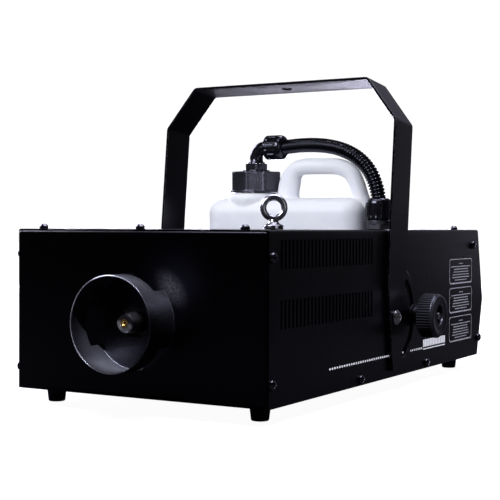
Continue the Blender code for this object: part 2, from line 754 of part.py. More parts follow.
def yoke_prism(name, outline, material=None):
    """An outline in the yoke's (back, up) plane pushed right across it."""
    reach = YOKE_OUT_X + SPARE
    frame = yoke_frame() @ frame_at((-reach, 0, 0), (1, 0, 0), (0, 1, 0))
    return prism(name, outline, 2 * reach, frame, material)


def yoke(finish):
    """A U bent from one strip, kept only inside its side outline, then slotted."""
    half = YOKE_W / 2
    path = [(YOKE_OUT_X, -PLATE_R - SPARE), (YOKE_OUT_X, YOKE_ARM_H), (YOKE_BAR_X, YOKE_TOP_H),
            (-YOKE_BAR_X, YOKE_TOP_H), (-YOKE_OUT_X, YOKE_ARM_H), (-YOKE_OUT_X, -PLATE_R - SPARE)]
    section = folded_outline(path, YOKE_T, YOKE_BEND_R, 3)
    mirrored = [(-x, z) for x, z in section]
    back = PLATE_R + SPARE
    frame = yoke_frame() @ frame_at((0, -half, 0), (0, 1, 0), (-1, 0, 0))
    strip = prism("yoke", mirrored, half + back, frame, finish["black_coat"])
    strip.data.transform(yoke_frame().inverted() @ frame)
    strip.matrix_world = yoke_frame()
    over = YOKE_TOP_H + SPARE
    round_end = arc(PLATE_R, -math.pi / 2, math.acos(half / PLATE_R), 18)
    side = [(-half - SINK, over), (-half - SINK, YOKE_TAPER_H)] + round_end + [(half, over)]
    silhouette = yoke_prism("yoke_side_operand", side)
    combine(strip, "INTERSECT", [silhouette])
    half_slot = SLOT_W / 2
    slot = arc(SLOT_R + half_slot, -SLOT_END, SLOT_END, 16)
    top_end = (SLOT_R * math.cos(SLOT_END), SLOT_R * math.sin(SLOT_END))
    low_end = (top_end[0], -top_end[1])
    slot += arc(half_slot, SLOT_END, SLOT_END + math.pi, 4, top_end)[1:-1]
    slot += arc(SLOT_R - half_slot, SLOT_END, -SLOT_END, 16)
    slot += arc(half_slot, math.pi - SLOT_END, 2 * math.pi - SLOT_END, 4, low_end)[1:-1]
    pivot_hole = yoke_prism("yoke_pivot_cutter", circle(BOLT_HOLE_R, 16))
    top_hole = drum("yoke_hole_cutter", YOKE_HOLE_R, YOKE_TOP_H - SPARE, over, yoke_frame(), segments=20)
    return cut(strip, yoke_prism("yoke_slot_cutter", slot), pivot_hole, top_hole)


def side_frame(sign, x, y, z):
    """Frame on one side of the machine, pointing outward."""
    return frame_at((sign * x, y, z), (sign, 0, 0), (0, 1, 0))


def pivots(finish):
    """Bolt, washer and threaded reinforcing plate on each side."""
    inner_face = SIDE_X - SHEET
    for side, sign in (("left", -1), ("right", 1)):
        frame = side_frame(sign, YOKE_OUT_X + GAP, *PIVOT)
        shank_end = inner_face - REINFORCEMENT_T - THREAD_BOSS_H - YOKE_OUT_X
        head = BOLT_HEAD_R
        dome = [(head * math.cos(a), BOLT_HEAD_H * math.sin(a)) for a in (0.35, 0.75, 1.1, 1.35)]
        profile = [(BOLT_SHANK_R, shank_end), (BOLT_SHANK_R, 0.0), (head, 0.0)] + dome
        bolt = turned(f"pivot_bolt_{side}", profile, frame, finish["bare_steel"], 24)
        socket = prism(f"bolt_socket_cutter_{side}", hexagon(BOLT_SOCKET_R), SPARE,
                       frame @ Matrix.Translation((0, 0, BOLT_HEAD_H * 0.97 - BOLT_SOCKET_D)), None)
        cut(bolt, socket)
        ring = [(WASHER_R, 0.0), (WASHER_R, YOKE_SIDE_GAP - 2 * GAP), (BOLT_HOLE_R, YOKE_SIDE_GAP - 2 * GAP),
                (BOLT_HOLE_R, 0.0)]
        turned(f"pivot_washer_{side}", ring, side_frame(sign, SIDE_X + GAP, *PIVOT), finish["bare_steel"],
               24, hollow=True)
        middle = (PIVOT[0] + SLOT_R / 2, PIVOT[1])
        plate_frame = side_frame(sign, inner_face - GAP - REINFORCEMENT_T, *middle)
        outline = rectangle(REINFORCEMENT_L / 2, REINFORCEMENT_H / 2, REINFORCEMENT_CORNER_R, 3)
        plate = prism(f"pivot_plate_{side}", outline, REINFORCEMENT_T, plate_frame, finish["bare_steel"])
        for label, place_yz in (("pivot", PIVOT), ("stud", STUD)):
            spot = side_frame(sign, inner_face - GAP - REINFORCEMENT_T, *place_yz)
            boss = drum(f"{label}_boss_operand_{side}", THREAD_BOSS_R, -THREAD_BOSS_H, SINK, spot, None, 20)
            join(plate, boss)
        for label, place_yz in (("pivot", PIVOT), ("stud", STUD)):
            spot = side_frame(sign, inner_face - GAP - REINFORCEMENT_T, *place_yz)
            hole = drum(f"{label}_thread_cutter_{side}", BOLT_HOLE_R, -2 * SPARE, SPARE, spot, None, 16)
            cut(plate, hole)


def knob_rings():
    """Rings of a fluted knob from its back to its rim."""
    count = 2 * KNOB_FLUTES
    levels = [(KNOB_ROUND, 0.0), (0.0, KNOB_ROUND), (0.0, KNOB_T - 1.3 * KNOB_ROUND),
              (KNOB_ROUND / 2, KNOB_T - CHAMFER), (KNOB_ROUND, KNOB_T)]
    rings = []
    for inset, height in levels:
        ring = []
        for i in range(count):
            flute = KNOB_FLUTE_D if i % 2 and inset == 0.0 else 0.0
            radius = KNOB_R - inset - flute
            angle = math.tau * i / count
            ring.append((radius * math.cos(angle), radius * math.sin(angle), height))
        rings.append(ring)
    return rings


def knobs(finish):
    """Fluted knob, its stud and the collar that presses on the yoke, on each side."""
    for side, sign in (("left", -1), ("right", 1)):
        back = YOKE_OUT_X + KNOB_STAND_OFF
        frame = side_frame(sign, back, *STUD)
        knob = lofted(f"clamp_knob_{side}", knob_rings(), frame, finish["knob_plastic"])
        recess = drum(f"knob_recess_cutter_{side}", KNOB_RECESS_R, KNOB_T - KNOB_RECESS_D, KNOB_T + SPARE,
                      frame, None, 32)
        bore = drum(f"knob_bore_cutter_{side}", BOLT_SHANK_R + GAP, -SPARE, KNOB_T + SPARE, frame, None, 16)
        cut(knob, recess, bore)
        inner_end = SIDE_X - SHEET - REINFORCEMENT_T - THREAD_BOSS_H - back
        outer_end = KNOB_T - KNOB_RECESS_D + STUD_OUT
        stud = [(BOLT_SHANK_R - CHAMFER, inner_end), (BOLT_SHANK_R, inner_end + CHAMFER),
                (BOLT_SHANK_R, outer_end - CHAMFER), (BOLT_SHANK_R - CHAMFER, outer_end)]
        turned(f"knob_stud_{side}", stud, frame, finish["bare_steel"], 16)
        bore_r = BOLT_SHANK_R + GAP
        length = KNOB_STAND_OFF - 2 * GAP
        ring = [(bore_r, 0.0), (COLLAR_FLANGE_R, 0.0), (COLLAR_FLANGE_R, COLLAR_FLANGE_T),
                (COLLAR_R, COLLAR_FLANGE_T + CHAMFER), (COLLAR_R, length), (bore_r, length)]
        turned(f"knob_collar_{side}", ring, side_frame(sign, YOKE_OUT_X + GAP, *STUD),
               finish["knob_plastic"], 24, hollow=True)


# ---------------------------------------------------------------- bottle

def bottle_rings(inset, low, high):
    """Rings of the bottle's rounded body between two heights, moved in by an inset."""
    foot_r = BOTTLE_FOOT_R - inset * 0.5
    top_r = BOTTLE_TOP_R - inset * 0.5
    levels = [(foot_r * (1 - math.sin(a)), low + foot_r * (1 - math.cos(a)))
              for a in (0.0, math.pi / 4, math.pi / 2)]
    levels += [(top_r * (1 - math.cos(a)), high - top_r * (1 - math.sin(a)))
               for a in (i * math.pi / 8 for i in range(5))]
    rings = []
    for draw_in, height in levels:
        shrink = inset + draw_in
        outline = rectangle(BOTTLE_HALF_L - shrink, BOTTLE_HALF_W - shrink, BOTTLE_CORNER_R - shrink, 6)
        rings.append([(x, y, height) for x, y in outline])
    return rings


def grip_route():
    """Centre line of the handle: up from the shoulder, over and down at the right end."""
    left, right = GRIP_LEFT_X, GRIP_RIGHT_X
    points = [(left - GRIP_LEAN, GRIP_FOOT), (left - GRIP_LEAN * 0.6, GRIP_TOP * 0.66),
              (left + GRIP_TURN_LEFT * 0.28, GRIP_TOP * 0.92), (left + GRIP_TURN_LEFT, GRIP_TOP),
              ((left + right) / 2, GRIP_TOP * 1.01), (right - GRIP_TURN_RIGHT, GRIP_TOP * 0.973),
              (right - GRIP_TURN_RIGHT * 0.47, GRIP_TOP * 0.84),
              (right - GRIP_TURN_RIGHT * 0.1, GRIP_TOP * 0.60), (right, GRIP_FOOT)]
    return smooth_route([(x, BOTTLE_AXIS, TOP + z) for x, z in points], 4)


def bottle(finish):
    low = TOP - BOTTLE_SINK
    high = TOP + BOTTLE_SHOULDER
    centre = frame_at((0.0, BOTTLE_AXIS, 0.0))
    neck_frame = frame_at((NECK_X, BOTTLE_AXIS, high))
    body = lofted("bottle", bottle_rings(0.0, low, high), centre, finish["milky_plastic"])
    neck_profile = [(NECK_COLLAR_R, -NECK_SINK), (NECK_COLLAR_R, NECK_COLLAR_H - CHAMFER),
                    (NECK_COLLAR_R - CHAMFER, NECK_COLLAR_H), (NECK_R, NECK_COLLAR_H), (NECK_R, NECK_H)]
    neck = turned("bottle_neck_operand", neck_profile, neck_frame, None, 32)
    grip = swept("bottle_grip_operand", grip_route(), GRIP_R, None, 12)
    join(body, neck, grip)
    inside = bottle_rings(BOTTLE_WALL, low + BOTTLE_WALL, high - BOTTLE_WALL)
    hollow = lofted("bottle_hollow_cutter", inside, centre, None)
    bore = drum("bottle_bore_cutter", NECK_R - NECK_WALL, -SPARE, NECK_H + SPARE, neck_frame)
    return cut(body, hollow, bore)


def bottle_well(finish):
    """A tub with a rim that hangs under the cover's opening."""
    floor_low = TOP - BOTTLE_SINK - GAP - SHEET
    rim_top = TOP - SHEET - GAP
    half_l = BOTTLE_HALF_L + WELL_CLEAR
    half_w = BOTTLE_HALF_W + WELL_CLEAR
    corner = BOTTLE_CORNER_R + WELL_CLEAR
    base = frame_at((0.0, BOTTLE_AXIS, 0.0))
    levels = [(SHEET, floor_low), (SHEET, rim_top - SHEET), (WELL_RIM, rim_top - SHEET), (WELL_RIM, rim_top),
              (0.0, rim_top), (0.0, floor_low + SHEET)]
    rings = []
    for spread, height in levels:
        outline = rectangle(half_l + spread, half_w + spread, corner + spread, 5)
        rings.append([(x, y, height) for x, y in outline])
    return lofted("bottle_well", rings, base, finish["black_coat"])


# ---------------------------------------------------------------- cap, fittings and hose

def cap_outline(inset):
    """Facets with clipped corners."""
    points = []
    steps = 4
    facet = math.tau / CAP_FACETS
    for i in range(CAP_FACETS * steps):
        angle = facet * i / steps
        across = angle % facet - facet / 2
        radius = min(CAP_FLAT_R / math.cos(across), CAP_R) - inset
        points.append((radius * math.cos(angle), radius * math.sin(angle)))
    return points


def bottle_cap(finish):
    frame = frame_at((NECK_X, BOTTLE_AXIS, CAP_LOW), (0, 0, 1), (1, 0.2, 0))
    levels = [(0.0, CAP_FLANGE_T), (0.0, CAP_H - CAP_EDGE), (CAP_EDGE, CAP_H)]
    rings = [[(x, y, z) for x, y in cap_outline(inset)] for inset, z in levels]
    count = len(rings[0])
    brim = [[(x, y, z) for x, y in circle(CAP_FLANGE_R, count)] for z in (0.0, CAP_FLANGE_T)]
    cap = lofted("bottle_cap", brim + rings, frame, finish["gloss_plastic"])
    cavity = drum("cap_cavity_cutter", NECK_R + GAP, -SPARE, CAP_H - CAP_TOP_T, frame)
    stem = drum("cap_stem_cutter", CAP_STEM_R + GAP, 0.0, CAP_H + SPARE, frame, None, 20)
    return cut(cap, cavity, stem)


def nut_dome(radius, length):
    """Profile points of the rounded end of a hose nut."""
    return [(radius, length - NUT_DOME), (radius - NUT_LIP * 0.35, length - NUT_DOME * 0.38),
            (radius - NUT_LIP, length)]


def cap_fittings(finish):
    """Hexagon nut, elbow with its stem through the cap, and the nut on the elbow."""
    top = CAP_HIGH + GAP
    frame = frame_at((NECK_X, BOTTLE_AXIS, top))
    nut = prism("cap_nut", hexagon(HEX_NUT_R), HEX_NUT_H, frame, finish["gloss_plastic"])
    cut(nut, drum("cap_nut_cutter", CAP_STEM_R + GAP, -SPARE, HEX_NUT_H + SPARE, frame, None, 20))
    axis_z = TOP + HOSE_Z
    start = top + HEX_NUT_H + GAP
    turn_x = NECK_X + ELBOW_BEND_R
    turn_z = axis_z - ELBOW_BEND_R
    bend = arc(ELBOW_BEND_R, math.pi, math.pi / 2, 6, (turn_x, turn_z))
    end_x = NECK_X + ELBOW_NUT_LEAD + ELBOW_NUT_L - HOSE_GRIP - GAP
    route = [(NECK_X, start)] + bend + [(end_x, axis_z)]
    elbow = swept("elbow", [(x, BOTTLE_AXIS, z) for x, z in route], ELBOW_R, finish["gloss_plastic"], 16)
    stem_frame = frame_at((NECK_X, BOTTLE_AXIS, 0.0))
    stem_low = CAP_HIGH - CAP_TOP_T - CAP_STEM_OUT
    stem = drum("elbow_stem_operand", CAP_STEM_R, stem_low, start + 2 * SINK, stem_frame, None, 20)
    join(elbow, stem)
    nut_frame = frame_at((NECK_X + ELBOW_NUT_LEAD, BOTTLE_AXIS, axis_z), (1, 0, 0), (0, 1, 0))
    bore = HOSE_R + GAP
    profile = [(bore, 0.0), (ELBOW_NUT_R - NUT_LIP, 0.0), (ELBOW_NUT_R, NUT_LIP / 2)]
    profile += nut_dome(ELBOW_NUT_R, ELBOW_NUT_L) + [(bore, ELBOW_NUT_L)]
    turned("elbow_nut", profile, nut_frame, finish["gloss_plastic"], 32, hollow=True)
    suction_tube(finish, stem_low - GAP)


def suction_tube(finish, top):
    """Tube from the elbow's stem to the filter on the bottle's floor."""
    floor = TOP - BOTTLE_SINK + BOTTLE_WALL + GAP
    filter_frame = frame_at((NECK_X, BOTTLE_AXIS, floor))
    profile = [(FILTER_R - CHAMFER, 0.0), (FILTER_R, CHAMFER), (FILTER_R, FILTER_L - FILTER_EDGE),
               (FILTER_R - FILTER_EDGE, FILTER_L)]
    turned("suction_filter", profile, filter_frame, finish["brass"], 20)
    drum("suction_tube", FLUID_TUBE_R, floor + FILTER_L + GAP, top, frame_at((NECK_X, BOTTLE_AXIS, 0.0)),
         finish["clear_tube"], 12)


def hose(finish):
    """A bent tube on one Bezier arc, from inside the elbow nut to inside the gland nut."""
    start = HOSE_START - Vector((HOSE_GRIP, 0.0, 0.0))
    end = HOSE_END - Vector((0.0, 0.0, HOSE_GRIP))
    toward = (HOSE_END - HOSE_START).xy.to_3d()
    first = HOSE_START + toward.normalized() * HOSE_PULL_X + Vector((0.0, 0.0, HOSE_RISE))
    second = HOSE_END + Vector((0.0, 0.0, HOSE_PULL_Z))
    route = [start]
    steps = 24
    for i in range(steps + 1):
        t = i / steps
        s = 1.0 - t
        route.append(s ** 3 * HOSE_START + 3 * s * s * t * first + 3 * s * t * t * second + t ** 3 * HOSE_END)
    route.append(end)
    curve = bpy.data.curves.new("hose", "CURVE")
    curve.dimensions = "3D"
    curve.bevel_depth = HOSE_R
    curve.bevel_resolution = 4
    curve.use_fill_caps = True
    spline = curve.splines.new("POLY")
    spline.points.add(len(route) - 1)
    for point, place_xyz in zip(spline.points, route):
        point.co = (*place_xyz, 1.0)
    curve.materials.append(finish["hose_plastic"])
    tube = bpy.data.objects.new("hose", curve)
    bpy.context.scene.collection.objects.link(tube)
    return tube


def gland(finish):
    """Body with a hexagon and a thread through the cover, dome nut on top, locknut below."""
    x, y = GLAND_X, FRONT + GLAND_Y
    frame = frame_at((x, y, TOP + GAP))
    body = prism("gland_body", hexagon(GLAND_HEX_R), GLAND_HEX_H, frame, finish["gloss_plastic"])
    neck_high = GLAND_HEX_H + GLAND_NECK_H
    inner_r = HOSE_R + GAP
    neck = drum("gland_neck_operand", GLAND_NECK_R, SINK, neck_high - GAP, frame, None, 28)
    thread = drum("gland_thread_operand", GLAND_THREAD_R, -GLAND_THREAD_L, SINK, frame, None, 24)
    join(body, neck, thread)
    cut(body, drum("gland_bore_cutter", FLUID_TUBE_R + GAP, -3 * SPARE, 3 * SPARE, frame, None, 16))
    nut_frame = frame_at((x, y, TOP + GAP + neck_high))
    profile = [(inner_r, 0.0), (GLAND_NUT_R, 0.0)] + nut_dome(GLAND_NUT_R, GLAND_NUT_H)
    profile.append((inner_r, GLAND_NUT_H))
    turned("gland_nut", profile, nut_frame, finish["gloss_plastic"], 32, hollow=True)
    lock_frame = frame_at((x, y, TOP - SHEET - GAP - LOCKNUT_H))
    lock = prism("gland_locknut", hexagon(LOCKNUT_R), LOCKNUT_H, lock_frame, finish["gloss_plastic"])
    cut(lock, drum("locknut_cutter", GLAND_THREAD_R + GAP, -SPARE, 2 * SPARE, lock_frame, None, 24))


def eye_bolt(finish):
    """A ring facing the front, on a tapered neck and a round collar."""
    x, y = EYE_X, FRONT + EYE_Y
    frame = frame_at((x, y, TOP + GAP))
    shank = EYE_SHANK_R
    profile = [(shank, -EYE_SHANK_L), (shank, 0.0), (EYE_COLLAR_R, 0.0), (EYE_COLLAR_R, EYE_COLLAR_H),
               (EYE_NECK_R + CHAMFER, EYE_COLLAR_H), (EYE_NECK_R, EYE_RING_Z - EYE_RING_R - EYE_WIRE_R),
               (EYE_WIRE_R * 1.3, EYE_RING_Z - EYE_RING_R + EYE_WIRE_R * 0.4)]
    bolt = turned("eye_bolt", profile, frame, finish["chrome"], 18)
    wire = [(EYE_RING_R + px, py) for px, py in circle(EYE_WIRE_R, 8)]
    ring_frame = frame_at((x, y, TOP + EYE_RING_Z), (0, -1, 0), (1, 0, 0))
    join(bolt, turned("eye_ring_operand", wire, ring_frame, None, 24, hollow=True))


# ---------------------------------------------------------------- pump, tubes and boards

def pump(finish):
    front = FRONT + HOUSING_L - PUMP_REAR - PUMP_L
    frame = frame_at((PUMP_X, front, UNDER + PUMP_Z), (0, 1, 0), (1, 0, 0))
    nipple = PUMP_NIPPLE_R
    profile = [(nipple, -PUMP_NIPPLE_L), (nipple, 0.0), (PUMP_R * 0.55, 0.0), (PUMP_R * 0.55, PUMP_L * 0.12),
               (PUMP_R, PUMP_L * 0.12), (PUMP_R, PUMP_L * 0.85), (PUMP_R * 0.7, PUMP_L * 0.85),
               (PUMP_R * 0.7, PUMP_L), (nipple, PUMP_L), (nipple, PUMP_L + PUMP_NIPPLE_L)]
    turned("pump", profile, frame, finish["cast_aluminium"], 18)
    near = front + (PUMP_L - PUMP_CRADLE_L) / 2
    seat = UNDER + PUMP_Z - PUMP_R - GAP
    hat_bracket("pump_bracket", PUMP_X, PUMP_R * 0.8, seat, near, near + PUMP_CRADLE_L, finish)


def fluid_tubes(finish):
    """Draw tube from the gland to the pump, and feed tube from the pump to the heater."""
    pump_z = UNDER + PUMP_Z
    rear = FRONT + HOUSING_L - PUMP_REAR + PUMP_NIPPLE_L + GAP
    gland_y = FRONT + GLAND_Y
    thread_end = TOP - GLAND_THREAD_L
    loop = TUBE_LOOP
    draw = [(GLAND_X, gland_y, TOP + TUBE_END), (GLAND_X, gland_y, thread_end),
            (GLAND_X, gland_y, thread_end - 3 * TUBE_END),
            (GLAND_X, gland_y + loop * 0.3, thread_end - loop * 1.45),
            (GLAND_X, (gland_y + rear) / 2, pump_z + loop * 0.8),
            (GLAND_X - loop * 0.15, rear - loop / 2, pump_z + loop * 0.3),
            (GLAND_X - loop / 2, rear + loop * 0.75, pump_z), (PUMP_X + loop * 0.55, rear + loop, pump_z),
            (PUMP_X, rear + 4 * TUBE_END, pump_z), (PUMP_X, rear + 2 * TUBE_END, pump_z),
            (PUMP_X, rear + TUBE_END, pump_z), (PUMP_X, rear, pump_z)]
    swept("draw_tube", smooth_route(draw, 3), FLUID_TUBE_R, finish["clear_tube"], 6)
    front = FRONT + HOUSING_L - PUMP_REAR - PUMP_L - PUMP_NIPPLE_L - GAP
    heater_end = FRONT + HEATER_Y + HEATER_L + GAP
    heater_z = UNDER + NOZZLE_Z
    rise = heater_z - pump_z
    feed = [(PUMP_X, front, pump_z), (PUMP_X, front - 5 * TUBE_END, pump_z),
            (PUMP_X * 0.9, heater_end + 2 * loop, pump_z),
            (PUMP_X * 0.35, heater_end + loop, pump_z + rise * 0.35),
            (0.0, heater_end + 2 * TUBE_END, heater_z), (0.0, heater_end + TUBE_END, heater_z),
            (0.0, heater_end, heater_z)]
    swept("feed_tube", smooth_route(feed, 3), FLUID_TUBE_R, finish["clear_tube"], 6)


def control_board(finish):
    """Board with its larger parts; each is given in shares of the board's width, length and part height."""
    near = FRONT + HOUSING_L - BOARD_REAR - BOARD_L
    seat = FLOOR_TOP + BOARD_STAND
    margin = BOARD_L * 0.036
    hat_bracket("board_bracket", BOARD_X, BOARD_W / 3, seat, near + margin, near + BOARD_L - margin, finish)
    low = Vector((BOARD_X - BOARD_W / 2, near, seat + GAP))
    board = box("control_board", low, low + Vector((BOARD_W, BOARD_L, BOARD_T)), finish["board_green"])
    sink = BOARD_T / 2
    blocks = {
        "transformer": (0.12, 0.15, 0.36, 0.27, 1.0),
        "relay": (0.58, 0.13, 0.17, 0.18, 0.57),
        "terminal_row": (0.12, 0.86, 0.62, 0.09, 0.40),
        "heat_sink": (0.62, 0.47, 0.23, 0.25, 0.86),
    }
    for name, (x, y, w, l, h) in blocks.items():
        corner = low + Vector((BOARD_W * x, BOARD_L * y, sink))
        size = Vector((BOARD_W * w, BOARD_L * l, BOARD_PART_H * h + sink))
        join(board, box(f"{name}_operand", corner, corner + size, None))
    return board


# ---------------------------------------------------------------- rear fittings

def display_panel(finish):
    """Bezel with a sunk window and holes for the buttons."""
    face = on_rear(True, 0, 0, GAP)
    panel = prism("display_panel", rectangle(DISPLAY_W / 2, DISPLAY_H / 2, CORNER_R, 3), DISPLAY_T, face,
                  finish["gloss_plastic"])
    sunk = prism("display_window_cutter", rectangle(WINDOW_W / 2, WINDOW_H / 2, CORNER_R, 2), SPARE,
                 face @ Matrix.Translation((0, WINDOW_Y, DISPLAY_T - WINDOW_D)), None)
    cut(panel, sunk)
    for i in range(4):
        x = (i - 1.5) * BUTTON_PITCH
        hole = drum(f"button_hole_cutter_{i + 1}", BUTTON_R + GAP, -SPARE, SPARE,
                    face @ Matrix.Translation((x, BUTTON_Y, 0)), None, 20)
        cut(panel, hole)
    for i in range(4):
        x = (i - 1.5) * BUTTON_PITCH
        top = DISPLAY_T + BUTTON_OUT
        profile = [(BUTTON_FLANGE_R, -GAP - BUTTON_FLANGE_T), (BUTTON_FLANGE_R, -GAP), (BUTTON_R, -GAP),
                   (BUTTON_R, top - CHAMFER / 2), (BUTTON_R - CHAMFER / 2, top)]
        turned(f"menu_button_{i + 1}", profile, face @ Matrix.Translation((x, BUTTON_Y, 0)),
               finish["knob_plastic"], 20)


def display_board(finish):
    """Board behind the display, on four posts that meet the rear panel's inner face."""
    depth = DISPLAY_BOARD_GAP
    back = -SHEET - GAP - depth
    half_w, half_h = DISPLAY_W / 2, DISPLAY_H / 2
    board = prism("display_board", rectangle(half_w, half_h, CORNER_R, 2), -BOARD_T, on_rear(True, 0, 0, back),
                  finish["board_green"])
    inset = 2 * DISPLAY_POST_R
    for i, (x, y) in enumerate(((1, 1), (-1, 1), (-1, -1), (1, -1))):
        spot = on_rear(True, x * (half_w - inset), y * (half_h - inset), back)
        join(board, drum(f"display_post_operand_{i}", DISPLAY_POST_R, -BOARD_T / 2, depth, spot, None, 10))
    top = -back - BUTTON_FLANGE_T - BUTTON_TRAVEL - GAP
    for i in range(4):
        spot = on_rear(True, (i - 1.5) * BUTTON_PITCH, BUTTON_Y, back)
        join(board, drum(f"button_switch_operand_{i}", DISPLAY_SWITCH_R, -BOARD_T / 2, top, spot, None, 12))
    return board


def power_inlet(finish):
    """Mains inlet: a flange, a recess behind it and three pins on the recess's floor."""
    frame = on_rear(False, INLET_X, 0, GAP)
    inlet = prism("power_inlet", rectangle(INLET_W / 2, INLET_H / 2, 2 * CORNER_R, 3), INLET_T, frame,
                  finish["gloss_plastic"])
    outer = rectangle(INLET_BODY_W / 2, INLET_BODY_H / 2, CORNER_R, 2)
    behind = frame @ Matrix.Translation((0, 0, -INLET_DEPTH + SINK))
    join(inlet, prism("inlet_body_operand", outer, INLET_DEPTH, behind, None))
    inner = rectangle(INLET_BODY_W / 2 - INLET_WALL, INLET_BODY_H / 2 - INLET_WALL, CORNER_R, 2)
    floor = INLET_DEPTH - INLET_FLOOR
    cut(inlet, prism("inlet_recess_cutter", inner, INLET_DEPTH * 2,
                     frame @ Matrix.Translation((0, 0, -floor)), None))
    half_w, half_h = INLET_PIN
    low, high = INLET_PIN_Y
    pins = []
    for i, (x, y) in enumerate(((-INLET_PIN_X, low), (0.0, high), (INLET_PIN_X, low))):
        blade = shifted(rectangle(half_w, half_h, half_w / 2, 1), x, y)
        pins.append(prism(f"inlet_pin_operand_{i}", blade, INLET_PIN_L,
                          frame @ Matrix.Translation((0, 0, -floor - SINK)), None))
    return join(inlet, *pins)


def fuse_holder(finish):
    """Round holder and its slotted bayonet cap."""
    frame = on_rear(False, FUSE_X, 0, GAP)
    edge = CHAMFER / 2
    profile = [(FUSE_BODY_R, -FUSE_BODY_L), (FUSE_BODY_R, 0.0), (FUSE_R, 0.0), (FUSE_R, FUSE_LIP - edge),
               (FUSE_R - edge, FUSE_LIP)]
    turned("fuse_holder", profile, frame, finish["gloss_plastic"], 24)
    cap_frame = on_rear(False, FUSE_X, 0, GAP + FUSE_LIP + GAP)
    cap_profile = [(FUSE_CAP_R, 0.0), (FUSE_CAP_R, FUSE_CAP_H - edge), (FUSE_CAP_R - edge, FUSE_CAP_H)]
    cap = turned("fuse_cap", cap_profile, cap_frame, finish["gloss_plastic"], 24)
    half_l, half_w, depth = FUSE_SLOT
    cut(cap, prism("fuse_slot_cutter", rectangle(half_l, half_w, half_w / 3, 1), SPARE,
                   cap_frame @ Matrix.Translation((0, 0, FUSE_CAP_H - depth)), None))


def power_switch(finish):
    """Frame with a well for the rocker, which turns about the frame's width."""
    frame = on_rear(False, SWITCH_X, 0, GAP)
    half_w, half_h = SWITCH_W / 2, SWITCH_H / 2
    housing = prism("switch_frame", rectangle(half_w, half_h, CORNER_R, 3), SWITCH_T, frame,
                    finish["gloss_plastic"])
    inset = SWITCH_LAP + CORNER_R / 4
    behind = frame @ Matrix.Translation((0, 0, -SWITCH_DEPTH + SINK))
    join(housing, prism("switch_body_operand", rectangle(half_w - inset, half_h - inset, CORNER_R / 2, 2),
                        SWITCH_DEPTH, behind, None))
    mouth = rectangle(ROCKER_W / 2 + ROCKER_CLEAR, ROCKER_H / 2 + ROCKER_CLEAR, CORNER_R / 4, 1)
    cut(housing, prism("switch_well_cutter", mouth, SWITCH_WELL_D + SPARE,
                       frame @ Matrix.Translation((0, 0, -SWITCH_WELL_D)), None))
    axis = frame @ Matrix.Translation((0, 0, -ROCKER_AXIS_D)) @ Matrix.Rotation(ROCKER_TILT, 4, "X")
    half = ROCKER_H / 2 - ROCKER_CLEAR * 0.7
    belly = [(y, max(z, -ROCKER_BELLY)) for y, z in arc(half, math.pi * 1.22, math.pi * 1.78, 8)]
    outline = belly + [(half * 0.98, ROCKER_TOP), (0.0, ROCKER_TOP * 0.6), (-half * 0.98, ROCKER_TOP)]
    rocker_frame = axis @ frame_at((-ROCKER_W / 2, 0, 0), (1, 0, 0), (0, 1, 0))
    rocker = prism("power_rocker", outline, ROCKER_W, rocker_frame, finish["knob_plastic"])
    rocker.data.transform(axis.inverted() @ rocker_frame)
    rocker.matrix_world = axis


def control_sockets(finish):
    for name, x in zip(("control_socket_in", "control_socket_out"), SOCKET_X):
        frame = on_rear(False, x, 0, GAP)
        socket = prism(name, rectangle(SOCKET_W / 2, SOCKET_H / 2, CORNER_R, 3), SOCKET_T, frame,
                       finish["gloss_plastic"])
        body = drum(f"{name}_body_operand", SOCKET_BODY_R, -SOCKET_DEPTH, SINK, frame, None, 24)
        join(socket, body)
        cut(socket, drum(f"{name}_bore_cutter", SOCKET_BORE_R, -SOCKET_DEPTH + SOCKET_FLOOR, SPARE, frame,
                         None, 24))


def build():
    for obj in list(bpy.data.objects):
        bpy.data.objects.remove(obj, do_unlink=True)
    finish = make_finishes()
    base_pan(finish)
    front_panel(finish)
    top_cover(finish)
    rear_panel(finish)
    feet(finish)
    nozzle_shroud(finish)
    heater(finish)
    yoke(finish)
    pivots(finish)
    knobs(finish)
    bottle(finish)
    bottle_well(finish)
    bottle_cap(finish)
    cap_fittings(finish)
    hose(finish)
    gland(finish)
    eye_bolt(finish)
    pump(finish)
    fluid_tubes(finish)
    control_board(finish)
    display_panel(finish)
    display_board(finish)
    power_inlet(finish)
    fuse_holder(finish)
    power_switch(finish)
    control_sockets(finish)


build()
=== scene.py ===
"""Fog machine on its frame: finishes, moulded parts, hose, screws, printed marks and the studio.

Everything is in metres in the frame's axes: the front faces -Y and the floor is z = 0.
"""

import json
import math

